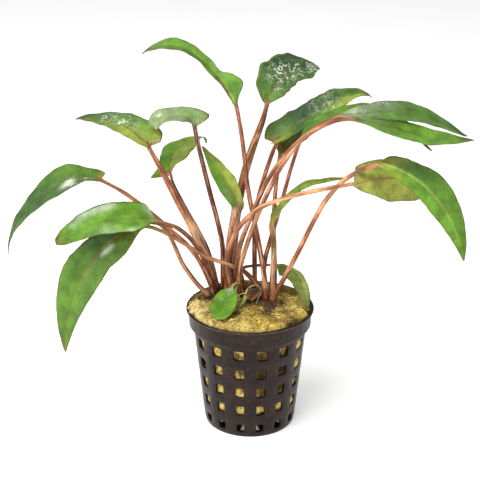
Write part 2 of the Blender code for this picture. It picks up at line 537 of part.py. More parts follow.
make_leaf(
    "withered_leaf", (1.2, 1.2),
    [(3.4, 1.2, 6), (3.4, 2.4, 6)],
    [(3, 3.6, 5.6, 1.6, 1.6, 0), (1.8, 3.8, 4, 2.5, 2.5, 0), (0.4, 2.3, 1.4, 2.3, 2.3, 0),
     (-0.7, 0, -1.2, 0.8, 0.8, 0)],
    papery_brown)
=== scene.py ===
"""A potted cryptocoryne: long-stalked leaves from a black slotted net pot packed with rock wool."""
import math
import random

import bmesh
import bpy
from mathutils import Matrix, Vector, noise


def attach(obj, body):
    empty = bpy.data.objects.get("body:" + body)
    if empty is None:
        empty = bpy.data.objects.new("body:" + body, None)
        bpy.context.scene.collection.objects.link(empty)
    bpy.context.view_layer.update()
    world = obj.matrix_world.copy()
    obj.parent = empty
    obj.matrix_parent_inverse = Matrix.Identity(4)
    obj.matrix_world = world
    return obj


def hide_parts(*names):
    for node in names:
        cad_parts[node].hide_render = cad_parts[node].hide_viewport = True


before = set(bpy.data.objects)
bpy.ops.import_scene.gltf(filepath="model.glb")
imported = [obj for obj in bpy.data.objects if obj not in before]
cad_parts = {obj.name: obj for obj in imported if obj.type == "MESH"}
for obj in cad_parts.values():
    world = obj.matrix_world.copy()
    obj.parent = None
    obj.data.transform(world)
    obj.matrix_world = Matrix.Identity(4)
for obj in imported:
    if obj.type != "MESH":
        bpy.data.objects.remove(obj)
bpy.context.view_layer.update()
bpy.ops.object.select_all(action="DESELECT")

MM = 0.001

# Net pot. A tapered basket moulded in one from black polypropylene, with a plain collar, a thin lip
# and five rows of small windows. It stands flat on its base, which has slots for the roots.
POT_HEIGHT = 49 * MM
RIM_RADIUS = 25.2 * MM
COLLAR_FOOT_RADIUS = 24.1 * MM
COLLAR_FOOT = 42 * MM
WALL_TOP_RADIUS = 22.5 * MM
BASE_RADIUS = 18.2 * MM
WALL_THICKNESS = 0.9 * MM
WINDOW_COLUMNS = 15
WINDOW_ROWS = 5
WINDOW_PITCH = 8.35 * MM
TOP_WINDOW_HEIGHT = 37.4 * MM
TOP_WINDOW_WIDTH = 4.35 * MM
FOOT_WINDOW_WIDTH = 2.9 * MM
WINDOW_HEIGHTS = (4.2 * MM, 4.35 * MM, 4.3 * MM, 4.2 * MM, 3.5 * MM)
WINDOW_CORNER = 0.3 * MM
CORNER_CUT = 0.3
FIRST_WINDOW_TURN = math.radians(-12)
COLUMNS_PER_WINDOW = 6
SOLID_COLUMNS = 2


def mix(start, end, share):
    return start + (end - start) * share


def linear(red, green, blue):
    """Turns a colour as a paint chart gives it, 0 to 255, into the light it sends back."""
    return tuple(((value / 255 + 0.055) / 1.055) ** 2.4 if value > 10 else value / 3295
                 for value in (red, green, blue))


def finish(name, colour, roughness, **sockets):
    """A new material whose shader has these settings."""
    material = bpy.data.materials.new(name)
    material.use_nodes = True
    shader = material.node_tree.nodes["Principled BSDF"]
    shader.inputs["Base Color"].default_value = (*colour, 1)
    shader.inputs["Roughness"].default_value = roughness
    for socket, value in sockets.items():
        shader.inputs[socket].default_value = value
    return material


def node(kind, inputs, material=None, **settings):
    """Adds a node to a material, or to the one its inputs come from.

    The inputs give each socket a value or the output that feeds it.
    """
    feeds = [value for value in inputs.values() if isinstance(value, bpy.types.NodeSocket)]
    tree = material.node_tree if material else feeds[0].id_data
    made = tree.nodes.new(kind)
    for setting, value in settings.items():
        setattr(made, setting, value)
    for socket, value in inputs.items():
        if isinstance(value, bpy.types.NodeSocket):
            tree.links.new(value, made.inputs[socket])
        else:
            made.inputs[socket].default_value = value
    return made


def reckon(operation, *values):
    """The result of a sum on values or outputs."""
    return node("ShaderNodeMath", dict(enumerate(values)), operation=operation).outputs[0]


def times(*values):
    return reckon("MULTIPLY", *values)


def blend_colours(share, first, second, way="MIX"):
    inputs = {0: share, 6: first, 7: second}
    return node("ShaderNodeMix", inputs, data_type="RGBA", blend_type=way).outputs[2]


def grain(material, size, detail=3, stretch=(1, 1, 1), roughness=0.55):
    """Cloudy noise whose patches are about this size, in metres, on the piece's own coordinates."""
    place = node("ShaderNodeTexCoord", {}, material).outputs["Object"]
    place = node("ShaderNodeMapping", {0: place, "Scale": stretch}).outputs[0]
    inputs = {"Vector": place, "Scale": 1 / size, "Detail": detail, "Roughness": roughness}
    return node("ShaderNodeTexNoise", inputs).outputs[0]


def between(value, low, high, out_low=0.0, out_high=1.0):
    """Maps a value from one range to another, smoothly, and holds it at the ends."""
    inputs = {0: value, 1: low, 2: high, 3: out_low, 4: out_high}
    return node("ShaderNodeMapRange", inputs, interpolation_type="SMOOTHSTEP").outputs[0]


def dress(material, colour=None, roughness=None, bumps=()):
    """Leads the pattern outputs into the shader; each bump is (height output, depth in metres)."""
    links = material.node_tree.links
    shader = material.node_tree.nodes["Principled BSDF"]
    if colour is not None:
        links.new(colour, shader.inputs["Base Color"])
    if roughness is not None:
        links.new(roughness, shader.inputs["Roughness"])
    normal = None
    for height, depth in bumps:
        inputs = {"Height": height, "Distance": depth, "Strength": 1.0}
        if normal is not None:
            inputs["Normal"] = normal
        normal = node("ShaderNodeBump", inputs).outputs[0]
    if normal is not None:
        links.new(normal, shader.inputs["Normal"])


def window_half_angle(height):
    share = min(1, max(0, height / TOP_WINDOW_HEIGHT))
    radius = mix(BASE_RADIUS, WALL_TOP_RADIUS, share)
    return mix(FOOT_WINDOW_WIDTH, TOP_WINDOW_WIDTH, share) / 2 / radius


def wall_radius(height):
    return mix(BASE_RADIUS, WALL_TOP_RADIUS, height / COLLAR_FOOT)


def wrap_grid(name, columns, rows, place, weld, is_open=None):
    """A flat grid bent into a skin; place gives the point at each share across and along the grid."""
    bpy.ops.mesh.primitive_grid_add(x_subdivisions=columns, y_subdivisions=rows, size=2)
    skin = bpy.context.object
    skin.name = name
    shape = bmesh.new()
    shape.from_mesh(skin.data)
    openings = []
    for face in shape.faces if is_open else ():
        middle = face.calc_center_median()
        if is_open((middle.x + 1) / 2, (middle.y + 1) / 2):
            openings.append(face)
    for vertex in shape.verts:
        vertex.co = place((vertex.co.x + 1) / 2, (vertex.co.y + 1) / 2)
    bmesh.ops.delete(shape, geom=openings, context="FACES")
    bmesh.ops.remove_doubles(shape, verts=shape.verts, dist=weld)
    bmesh.ops.recalc_face_normals(shape, faces=shape.faces)
    shape.to_mesh(skin.data)
    shape.free()
    return skin


# Each row of the pot's wall is (radius, height, way a window's corner is cut, what starts there).
pot_rows = [(radius * MM, height * MM, 0, state) for radius, height, state in (
    (0, 0, "solid"), (3.5, 0, "solid"), (7, 0, "slot"), (7.6, 0, "slot"), (13.9, 0, "slot"),
    (14.5, 0, "solid"), (17.4, 0, "solid"), (18, 0.2, "solid"))]
for row in reversed(range(WINDOW_ROWS)):
    middle = TOP_WINDOW_HEIGHT - row * WINDOW_PITCH
    half_height = WINDOW_HEIGHTS[row] / 2
    inner = half_height - WINDOW_CORNER
    for offset, rise, state in ((-half_height, 1, "window"), (-inner, 0, "window"),
                                (inner, 0, "window"), (half_height, -1, "solid")):
        pot_rows.append((wall_radius(middle + offset), middle + offset, rise, state))
for radius, height in ((22.45, 41.3), (22.8, 41.65), (23.7, 41.8), (24.1, 42.2), (24.14, 43), (24.33, 47.4),
                       (24.42, 47.9), (24.9, 48.05), (25.2, 48.25), (25.2, 48.75), (25, 49)):
    pot_rows.append((radius * MM, height * MM, 0, "solid"))

last_row = len(pot_rows) - 1
columns = WINDOW_COLUMNS * COLUMNS_PER_WINDOW


def pot_opening(around, along):
    """Whether a face of the grid lies in a window or in a slot of the base."""
    column = int(around * columns) % COLUMNS_PER_WINDOW
    return column < COLUMNS_PER_WINDOW - SOLID_COLUMNS and pot_rows[int(along * last_row)][3] != "solid"


def pot_point(around, along):
    """Point on the outside of the pot, with the corners of the windows drawn in."""
    window, step = divmod(round(around * columns), COLUMNS_PER_WINDOW)
    radius, height, corner, _ = pot_rows[round(along * last_row)]
    half = window_half_angle(height)
    corner_angle = WINDOW_CORNER / max(radius, 5 * MM)
    if step in (0, 4) and corner:
        height += corner * WINDOW_CORNER * CORNER_CUT
        half -= corner_angle * CORNER_CUT
    turn = (-half, corner_angle - half, 0, half - corner_angle, half, math.pi / WINDOW_COLUMNS)[step]
    angle = FIRST_WINDOW_TURN - math.pi / 2 + window * math.tau / WINDOW_COLUMNS + turn
    return radius * math.cos(angle), radius * math.sin(angle), height


pot = wrap_grid("pot_basket", columns, last_row, pot_point, 0.001 * MM, pot_opening)
wall = pot.modifiers.new("wall", "SOLIDIFY")
wall.thickness = WALL_THICKNESS
wall.offset = -1
wall.use_even_offset = True
edges = pot.modifiers.new("edges", "BEVEL")
edges.width = 0.1 * MM
edges.segments = 2
edges.limit_method = "ANGLE"
edges.angle_limit = math.radians(50)
for modifier in ("wall", "edges"):
    bpy.ops.object.modifier_apply(modifier=modifier)
bpy.ops.object.shade_smooth_by_angle(angle=math.radians(40))

plastic = finish("pot_plastic", linear(28, 21, 20), 0.36,
                 **{"Specular IOR Level": 0.2, "Specular Tint": (1, 0.86, 0.8, 1)})
streaks = grain(plastic, 1.3 * MM, 4, (1, 1, 0.25))
clouds = grain(plastic, 9 * MM, 3)
scuffs = between(grain(plastic, 0.45 * MM, 5, (0.25, 0.25, 2)), 0.56, 0.7)
scratches = between(grain(plastic, 0.4 * MM, 4, (2, 2, 0.12)), 0.6, 0.72)
place = node("ShaderNodeTexCoord", {}, plastic).outputs["Object"]
height = node("ShaderNodeSeparateXYZ", {0: place}).outputs[2]
# The lip band is a painted highlight: a pale streaked line where the rim catches the light.
lip = times(between(height, 48.1 * MM, 48.3 * MM), between(height, 48.6 * MM, 48.9 * MM, 1, 0))
lip = times(lip, between(streaks, 0.35, 0.6, 0.1, 0.5))
wear = reckon("MAXIMUM", times(scuffs, 0.3), times(scratches, 0.4))
base = blend_colours(between(clouds, 0.35, 0.65), (*linear(34, 23, 20), 1), (*linear(19, 11, 10), 1))
# Real scuffs and scratches share one pale colour with the painted lip highlight.
worn_and_lip_highlight = blend_colours(reckon("MAXIMUM", wear, lip), base, (*linear(104, 88, 80), 1))
rough = between(streaks, 0.3, 0.7, 0.3, 0.46)
dress(plastic, worn_and_lip_highlight, rough, [(streaks, 0.06 * MM), (grain(plastic, 0.35 * MM, 2), 0.015 * MM)])
pot.data.materials.append(plastic)
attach(pot, "root")
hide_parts("net_pot")

# Rock wool. A plug of yellow mineral wool pushed into the pot, torn and lumpy on top, with loose
# fibres all over it. It leaves hollows behind some of the windows and presses out into others.
random.seed(7)
WOOL_FOOT = 9.4 * MM
WOOL_TOP = POT_HEIGHT + 0.1 * MM
WOOL_CLEARANCE = 0.2 * MM
WOOL_RINGS = 90
WOOL_COLUMNS = 160
FIBRES = 7400
FIBRE_STEPS = 4
STOUT_FIBRES = 0.28
TOP_STARTS = 0.78
TOP_REACH = 0.24
WOOL_WARMTH = (0.8, 0.7, 0.5)
LUMP_SIZE = 3.6 * MM
TUFT_SIZE = 2.4 * MM
CRUMB_SIZE = 1.2 * MM
BULGING_COLUMN = FIRST_WINDOW_TURN - math.pi / 2 + 3 * math.tau / WINDOW_COLUMNS

wool_inside = WALL_THICKNESS + WOOL_CLEARANCE
wool_foot_radius = wall_radius(WOOL_FOOT) - wool_inside
wool_collar_radius = COLLAR_FOOT_RADIUS - wool_inside
wool_profile = [
    (0, WOOL_FOOT), (wool_foot_radius * 0.92, WOOL_FOOT), (wool_foot_radius, WOOL_FOOT + 0.8 * MM),
    (WALL_TOP_RADIUS - wool_inside, COLLAR_FOOT + 0.2 * MM), (wool_collar_radius, COLLAR_FOOT + 2.6 * MM),
    (wool_collar_radius, WOOL_TOP - 1.2 * MM), (wool_collar_radius - 0.2 * MM, WOOL_TOP + 0.2 * MM),
    (21 * MM, WOOL_TOP + 0.6 * MM), (12 * MM, WOOL_TOP + 0.5 * MM), (0, WOOL_TOP + 0.6 * MM)]
wool_lengths = [0]
for (r0, z0), (r1, z1) in zip(wool_profile, wool_profile[1:]):
    wool_lengths.append(wool_lengths[-1] + math.hypot(r1 - r0, z1 - z0))


def wool_point(angle, share):
    """Point and outward direction of the wool's plain surface, share of the way from foot to top."""
    wanted = share * wool_lengths[-1]
    index = 0
    while index < len(wool_profile) - 2 and wool_lengths[index + 1] < wanted:
        index += 1
    (r0, z0), (r1, z1) = wool_profile[index], wool_profile[index + 1]
    part = (wanted - wool_lengths[index]) / (wool_lengths[index + 1] - wool_lengths[index])
    around = Vector((math.cos(angle), math.sin(angle), 0))
    outward = around * (z1 - z0) + Vector((0, 0, r0 - r1))
    point = around * mix(r0, r1, part) + Vector((0, 0, mix(z0, z1, part)))
    return point, outward.normalized()


# The patch colours are partly the wool's own tone and partly painted light and shade: dark patches paint
# the shade in hollows, behind windows, round the stalk feet and under the leaves, and pale patches paint
# light on the front and left.
# Each patch is (x, y, z of its middle, its reach, how far it stands out, its colour), in millimetres.
WOOL_TONE_AND_SHADE_PATCHES = [
    (-18, 4, 49, 4.5, 0.4, (120, 85, 40)), (-20, -8, 49, 6, 1.3, (246, 234, 186)),
    (-21, -2, 49, 4, 1.2, (244, 228, 170)), (-15, -15, 49, 4, 0.9, (240, 226, 160)),
    (3, -18, 49.5, 6, 0.8, (232, 214, 110)), (-4, -20, 49, 4, 1.0, (240, 226, 140)),
    (10, -19, 49, 3, 0.9, (228, 206, 100)), (16, -15, 49, 3.5, -1.0, (96, 74, 32)),
    (19, -9, 49, 4, 0.7, (214, 198, 110)), (20, 4, 49, 5, 0.9, (222, 208, 124)),
    (16, 10, 49, 4, 0.4, (150, 128, 60)), (13, 2, 49.5, 2.5, -0.7, (84, 60, 26)),
    (0, 4, 49.5, 6, -0.5, (126, 98, 44)), (-5, 14, 49, 8, 0, (110, 86, 38)),
    (-12, -4, 49.5, 4, 0.6, (234, 218, 130)), (7, -8, 49.5, 2.8, -0.6, (110, 84, 36)),
    (0, -9, 49.5, 4, 0.2, (206, 184, 96)), (-18, -14, 37, 6, 0.1, (246, 230, 160)),
    (-10, -19, 37, 4, -0.8, (232, 206, 110)), (-16, -12, 22, 7, 0.1, (240, 222, 140)),
    (-8, -18, 24, 5, -0.9, (226, 200, 110)), (0, -18, 12.5, 4, 0.3, (238, 220, 130)),
    (12, -13, 12.5, 5, 0.3, (236, 218, 130)), (20, -8, 30, 5, 0.3, (240, 222, 150)),
    (20, -9, 38, 4, 0.3, (244, 226, 140)), (5, -20, 37, 3.2, -1.6, (128, 96, 40)),
    (13.5, -16, 37, 3, -1.4, (150, 116, 52)), (5, -19, 29, 3, -3.2, (52, 36, 18)),
    (13, -15, 29, 3, -3.4, (60, 36, 22)), (5, -18.5, 21, 3, -1.4, (150, 118, 48)),
    (12.5, -14.5, 21, 3, -1.6, (140, 108, 46)), (-3.5, -19.5, 30, 2.2, -1.4, (160, 124, 60)),
    (8, 0, 49.5, 5, -0.2, (104, 72, 34)), (-18, -7, 36, 3, -0.8, (110, 78, 34)),
    (-17, -7, 28, 3, -1, (100, 70, 30)), (11, 12, 49.5, 6, 0, (128, 106, 48)),
    (-13, 12, 49.5, 7, 0, (104, 74, 36)), (-2, -1, 49.5, 3, 0, (150, 124, 60))]


def wool_lump(point):
    """How far the wool stands out at a point, and its colour there, with painted shade where it sinks and
    painted light where it rises.
    """
    coarse = noise.fractal(point / LUMP_SIZE, 1, 2, 3)
    fine = noise.fractal(point / CRUMB_SIZE, 1, 2, 2)
    tuft = 0.35 - abs(noise.noise(point / TUFT_SIZE))
    lift = 0.9 * coarse + 0.35 * fine + 1.1 * tuft
    # Painted shade and light: the colour runs from dark where the lumps sink to pale where they rise.
    level = min(1, max(0, 0.42 + 0.9 * coarse + 1.1 * tuft))
    shade = Vector(mix(Vector(linear(112, 82, 32)), Vector(linear(246, 230, 150)), level))
    for x, y, z, reach, out, colour in WOOL_TONE_AND_SHADE_PATCHES:
        distance = (point - Vector((x, y, z)) * MM).length / (reach * MM)
        share = math.exp(-distance ** 3)
        lift += out * share
        shade = shade.lerp(Vector(linear(*colour)), 0.85 * share)
    return lift * MM, Vector(a * b for a, b in zip(shade, WOOL_WARMTH))


def window_bulge(point):
    """How far the wool presses out into the windows of the column on the right, between their edges."""
    share = 0
    half_angle = window_half_angle(point.z)
    away = abs(math.atan2(point.y, point.x) - BULGING_COLUMN) / half_angle
    for row in range(WINDOW_ROWS - 1):
        half_height = WINDOW_HEIGHTS[row] / 2
        above = abs(point.z - TOP_WINDOW_HEIGHT + row * WINDOW_PITCH) / half_height
        share = max(share, 1 - max(away, above) ** 4)
    return share * (WALL_THICKNESS + 0.1 * MM)


def wool_surface(around, along):
    """Point on the wool's lumpy surface, held inside the wall except over the rim and in the windows."""
    point, outward = wool_point(around * math.tau, along)
    lift, _ = wool_lump(point)
    over_rim = point.z > POT_HEIGHT - 1 * MM
    return point + outward * (lift if over_rim else min(lift, 0.25 * MM) + window_bulge(point))


def paint(mesh, tints):
    """Stores a colour at each point of a mesh."""
    layer = mesh.color_attributes.new("tint", "FLOAT_COLOR", "POINT")
    for index, colour in enumerate(tints):
        layer.data[index].color = (*colour, 1)


def painted(material):
    """The colours that paint stored."""
    return node("ShaderNodeVertexColor", {}, material, layer_name="tint").outputs[0]


wool = wrap_grid("rock_wool_plug", WOOL_COLUMNS, WOOL_RINGS, wool_surface, 0.01 * MM)
paint(wool.data, [wool_lump(vertex.co)[1] for vertex in wool.data.vertices])
bpy.ops.object.shade_smooth()

wool_finish = finish("rock_wool_mat", linear(200, 180, 90), 0.92)
chart = painted(wool_finish)
threads = grain(wool_finish, 0.6 * MM, 5, (1, 1, 2.5), 0.7)
pit_shade = between(grain(wool_finish, 1.6 * MM, 4), 0.36, 0.52, 0.4, 1.05)
# Painted shade and light: darker between the threads and in the pits, paler on the threads.
shaded = blend_colours(1.0, chart, between(threads, 0.3, 0.62, 0.55, 1.3), "MULTIPLY")
shaded = blend_colours(1.0, shaded, pit_shade, "MULTIPLY")
dress(wool_finish, shaded, None, [(threads, 0.5 * MM), (grain(wool_finish, 0.25 * MM, 3), 0.12 * MM)])
wool.data.materials.append(wool_finish)
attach(wool, "root")
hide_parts("rock_wool")


def tube_faces(first, rings, sides):
    """Faces of a closed tube whose rings of points follow each other from a first point."""
    faces = []
    for ring in range(rings - 1):
        for side in range(sides):
            a = first + ring * sides + side
            b = first + ring * sides + (side + 1) % sides
            faces.append((a, b, b + sides, a + sides))
    last = first + (rings - 1) * sides
    return [*faces, tuple(reversed(range(first, first + sides))), tuple(range(last, last + sides))]


def tinted_object(name, points, faces, tints):
    """A smooth object of these points and faces, with a colour at each point."""
    mesh = bpy.data.meshes.new(name)
    mesh.from_pydata(points, [], faces)
    paint(mesh, tints)
    mesh.shade_smooth()
    made = bpy.data.objects.new(name, mesh)
    bpy.context.collection.objects.link(made)
    return made


def strand_mesh(name, strands, colours, sides=3):
    """Closed thin threads; each strand is a list of points and a radius, with its colour."""
    points, faces, tints = [], [], []
    for (path, radius), colour in zip(strands, colours):
        faces += tube_faces(len(points), len(path), sides)
        for index, point in enumerate(path):
            ahead = (path[min(index + 1, len(path) - 1)] - path[max(index - 1, 0)]).normalized()
            side = ahead.orthogonal().normalized()
            other = ahead.cross(side)
            for corner in range(sides):
                turn = corner * math.tau / sides
                points.append(point + (side * math.cos(turn) + other * math.sin(turn)) * radius)
                tints.append(colour)
    return tinted_object(name, points, faces, tints)


strands, strand_colours = [], []
for _ in range(FIBRES):
    share = random.uniform(0.18, 1) ** 0.8
    angle = random.uniform(0, math.tau)
    if share > TOP_STARTS:
        share = 1 - math.sqrt(random.random()) * TOP_REACH
    point, outward = wool_point(angle, share)
    lift, shade = wool_lump(point)
    top = point.z > POT_HEIGHT - 0.5 * MM
    heading = outward.orthogonal().normalized()
    turn = random.uniform(0, math.tau)
    along = heading * math.cos(turn) + outward.cross(heading) * math.sin(turn)
    bend = outward.cross(along) * random.uniform(-0.5, 0.5)
    stout = random.random() < STOUT_FIBRES
    length = random.uniform(1.2, 4.2) * MM * (1.4 if stout else 1)
    rest = min(lift, 0.5 * MM) if not top else lift
    path = []
    for step in range(FIBRE_STEPS + 1):
        reach = step / FIBRE_STEPS - 0.5
        rise = rest + random.uniform(-0.2, 0.45) * MM * (1 if top else 0.3) - reach ** 2 * 0.5 * MM
        path.append(point + along * reach * length + bend * (reach ** 2) * length * 1.6 + outward * rise)
    limit = RIM_RADIUS - 0.9 * MM if top else wall_radius(point.z) - WALL_THICKNESS - 0.12 * MM
    if max(step.xy.length for step in path) < limit:
        strands.append((path, random.uniform(*((0.1, 0.16) if stout else (0.05, 0.09))) * MM))
        # Each fibre takes the wool's colour under it, painted shade and light included, in a random tone.
        strand_colours.append(shade * random.choice((0.4, 0.75, 1.25, 1.7)))
fibres = strand_mesh("rock_wool_fibres", strands, strand_colours)
fibre_finish = finish("rock_wool_fibre_mat", linear(215, 195, 110), 0.85)
chart = painted(fibre_finish)
fleck = between(grain(fibre_finish, 1.2 * MM), 0.3, 0.7, 0.75, 1.2)
dress(fibre_finish, blend_colours(1.0, chart, fleck, "MULTIPLY"))
fibres.data.materials.append(fibre_finish)
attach(fibres, "root")

# Crowns. The short brown rootstocks of four plantlets, pressed side by side into the wool. Each is
# wrapped in the split brown feet of old leaves, so it is ribbed up and down.
CROWN_SINK = 0.4 * MM
CROWN_CUT = 1.2 * MM
CROWN_RIBS = 5.5
crown_finish = finish("crown_mat", linear(90, 50, 30), 0.6)
ribs = grain(crown_finish, 0.7 * MM, 4, (1, 1, 0.2))
patches = grain(crown_finish, 3 * MM, 3)
bark = blend_colours(between(ribs, 0.35, 0.65), (*linear(30, 19, 11), 1), (*linear(82, 54, 30), 1))
bark = blend_colours(between(patches, 0.5, 0.7), bark, (*linear(104, 70, 40), 1))
dress(crown_finish, bark, between(patches, 0.3, 0.7, 0.45, 0.75), [(ribs, 0.35 * MM)])
for name, middle, radii in (
        ("crown_left", (-15.2, 9.2, 1.4), (3.1, 7.2, 1.9)),
        ("crown_centre", (-7.2, 10, 1.3), (4.2, 6.4, 2.3)),
        ("crown_right", (7.4, 1.4, 1.3), (3.6, 9.2, 2.4)),
        ("crown_back", (1.8, 14.6, 1.3), (2.6, 3.6, 1.9))):
    foot = Vector(middle) * MM + Vector((0, 0, POT_HEIGHT - CROWN_SINK))
    bpy.ops.mesh.primitive_uv_sphere_add(segments=64, ring_count=32, radius=1 * MM, location=foot)
    crown = bpy.context.object
    crown.name = name + "_rootstock"
    crown.scale = radii
    bpy.ops.object.transform_apply(location=True, rotation=True, scale=True)
    bpy.ops.object.mode_set(mode="EDIT")
    bpy.ops.mesh.select_all(action="SELECT")
    bpy.ops.mesh.bisect(
        plane_co=foot - Vector((0, 0, CROWN_CUT)), plane_no=(0, 0, 1), use_fill=True, clear_inner=True)
    bpy.ops.object.mode_set(mode="OBJECT")
    for vertex in crown.data.vertices:
        out = vertex.co - foot
        angle = math.atan2(out.y / radii[1], out.x / radii[0])
        split = abs(math.sin(angle * CROWN_RIBS + 1.5 * noise.noise(vertex.co / (5 * MM))))
        knobs = noise.noise(vertex.co / (1.8 * MM))
        out.z *= 0.72
        vertex.co = foot + out * (0.92 + 0.06 * split ** 0.6 + 0.12 * knobs)
    bpy.ops.object.shade_smooth()
    crown.data.materials.append(crown_finish)
    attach(crown, "root")
    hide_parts(name)

# Leaves. Each is one thin blade on a long stalk, with a sunken midrib, arching side veins and a
# waved margin. The stalks come up red-brown out of the crowns and turn tan or olive at the blade.
SIGHT_TILT = math.radians(20.8)
SIGHT_DISTANCE = 400 * MM
SIGHT_ACROSS = -3.95 * MM
SIGHT_UP = 23.3 * MM
SIGHT_ABOVE_RIM = 2.5 * MM
RIGHT = Vector((1, 0, 0))
UPWARD = Vector((0, math.sin(SIGHT_TILT), math.cos(SIGHT_TILT)))
FORWARD = Vector((0, math.cos(SIGHT_TILT), -math.sin(SIGHT_TILT)))
SIGHT_MIDDLE = Vector((0, 0, POT_HEIGHT)) + UPWARD * SIGHT_ABOVE_RIM
EYE = SIGHT_MIDDLE + RIGHT * SIGHT_ACROSS + UPWARD * SIGHT_UP - FORWARD * SIGHT_DISTANCE
HALF_RING = 24
STALK_STEP = 1.4 * MM
BLADE_STEP = 0.85 * MM
BLADE_NECK = 5 * MM
BLADE_HALF_THICKNESS = 0.17 * MM
LOBE_SHARE = 0.35
FOOT_DEPTH = 2.2 * MM
FOOT_WIDTH = 0.62
WAVE_LENGTH = 9 * MM
DRIFT_LENGTH = 11 * MM
SIDE_VEINS = (0.3, 0.55, 0.78)
LEAF_VEINS = 7.5
MARGIN_WIDTH = 1.1 * MM
LEAST_HALF = 0.12 * MM
NUDGE = 0.05
TEAR_LENGTH = 2.2 * MM
PUFF_LENGTH = 2.6 * MM
PUFF_WIDTH = 2.2 * MM
GROOVE_DEPTH = 0.22 * MM
VEIN_DEPTH = 0.07 * MM
VEIN_REACH = 0.35 * MM
COLOUR_BLEND = 2.5 * MM
UNDER_SHARE = 0.6
LABELS = ("across", "distance", "upper", "flat", "painted_glare")

LEAF_COLOURS = {
    "dark green": (52, 86, 30), "green": (80, 118, 32), "bright green": (96, 142, 38),
    "yellow green": (134, 150, 52), "grey green": (124, 142, 98), "pale green": (156, 172, 84),
    "olive": (100, 98, 34), "black green": (26, 36, 18), "deep green": (30, 60, 24),
    "red brown": (136, 74, 46), "dark red": (106, 48, 34), "tan": (182, 128, 86),
    "pink tan": (186, 138, 100), "orange tan": (164, 100, 62), "dark brown": (92, 50, 28),
    "brown": (124, 78, 38), "pink brown": (156, 98, 68), "black brown": (62, 36, 22),
    "pale sheath": (204, 160, 122), "green stalk": (124, 138, 50), "glare": (218, 228, 204),
    "grey sheath": (152, 116, 90), "lime": (92, 170, 40), "pale vein": (176, 190, 100),
    "light tan": (224, 178, 136), "pale olive": (174, 176, 86)}
LEAF_COLOURS = {name: Vector(linear(*colour)) for name, colour in LEAF_COLOURS.items()}


def off_half(value):
    """How far a value is from a half."""
    return reckon("ABSOLUTE", reckon("SUBTRACT", value, 0.5))


def leaf_finish(name, roughness, vein_depth):
    """Waxy leaf skin: the painted tint, with arching veins, cross veins, blotches and a broken painted
    glare.
    """
    material = finish(name, linear(100, 140, 60), roughness, **{"Specular IOR Level": 0.27})
    value = {label: node("ShaderNodeAttribute", {}, material, attribute_name=label).outputs["Fac"]
             for label in LABELS}
    away = reckon("ABSOLUTE", value["across"])
    sway = times(grain(material, 4 * MM, 2), 0.05)
    lane = reckon("FRACT", times(reckon("ADD", away, sway), LEAF_VEINS))
    vein = between(off_half(lane), 0.36, 0.5)
    slant = reckon("MULTIPLY_ADD", away, 5.0, times(value["distance"], 0.62))
    wander = times(grain(material, 2.2 * MM, 2), 1.6)
    cross_lane = reckon("FRACT", reckon("ADD", slant, wander))
    cross_vein = between(off_half(cross_lane), 0.4, 0.5)
    net = times(reckon("MAXIMUM", vein, times(cross_vein, 0.3)), value["flat"])
    blotch = between(grain(material, 5 * MM, 4), 0.3, 0.7, 0.68, 1.28)
    speck = between(grain(material, 0.7 * MM, 3), 0.3, 0.75, 0.9, 1.1)
    colour = blend_colours(1.0, painted(material), blotch, "MULTIPLY")
    colour = blend_colours(1.0, colour, speck, "MULTIPLY")
    lines = times(net, between(grain(material, 6 * MM, 2), 0.35, 0.65, 0.02, 0.2))
    colour = blend_colours(lines, colour, (*linear(40, 70, 22), 1))
    lengthways = node("ShaderNodeCombineXYZ", {
        0: times(value["across"], 1.3), 1: times(value["distance"], 0.06),
        2: times(value["upper"], 5.0)}).outputs[0]
    streaks = node("ShaderNodeTexNoise", {"Vector": lengthways, "Scale": 1.6, "Detail": 4}).outputs[0]
    stalk_share = reckon("SUBTRACT", 1.0, value["flat"])
    pale = times(between(streaks, 0.51, 0.6, 0, 0.55), stalk_share)
    dark = times(between(streaks, 0.41, 0.49, 0.75, 0), stalk_share)
    colour = blend_colours(pale, colour, (*LEAF_COLOURS["light tan"], 1))
    colour = blend_colours(dark, colour, (*linear(84, 36, 24), 1))
    # Painted highlight: the pale glare colour, broken into lines, where the glare attribute is set.
    lace = between(off_half(grain(material, 3 * MM, 3)), 0.004, 0.028, 1.1, 0.06)
    shine = reckon("MINIMUM", times(value["painted_glare"], lace), 0.9)
    colour = blend_colours(shine, colour, (*LEAF_COLOURS["glare"], 1))
    gloss = between(grain(material, 3 * MM, 3), 0.3, 0.7, roughness - 0.07, roughness + 0.12)
    under = times(reckon("SUBTRACT", 1.0, value["upper"]), 0.18)
    bumps = [(reckon("SUBTRACT", 1.0, net), vein_depth), (grain(material, 1.8 * MM, 3), 0.3 * MM),
             (grain(material, 0.3 * MM, 2), 0.02 * MM)]
    dress(material, colour, reckon("ADD", gloss, under), bumps)
    return material


leaf_skin = leaf_finish("leaf_mat", 0.33, 0.06 * MM)
young_skin = leaf_finish("young_leaf_mat", 0.3, 0.04 * MM)


def seen(across, up, behind):
    """World place of a leaf point: the line of sight through across, up meets the depth behind."""
    on_plane = SIGHT_MIDDLE + RIGHT * across * MM + UPWARD * up * MM
    reach = (behind * MM - EYE.y) / (on_plane.y - EYE.y)
    return EYE + (on_plane - EYE) * reach


def curve_point(rows, place):
    """Smooth curve through rows of numbers, at a place counted in rows (Catmull-Rom)."""
    start = min(int(place), len(rows) - 2)
    share = place - start
    before, first, second = rows[max(start - 1, 0)], rows[start], rows[start + 1]
    after = rows[min(start + 2, len(rows) - 1)]
    return [b + 0.5 * ((c - a) * share + (2 * a - 5 * b + 4 * c - d) * share ** 2
                       + (3 * b - a - 3 * c + d) * share ** 3)
            for a, b, c, d in zip(before, first, second, after)]


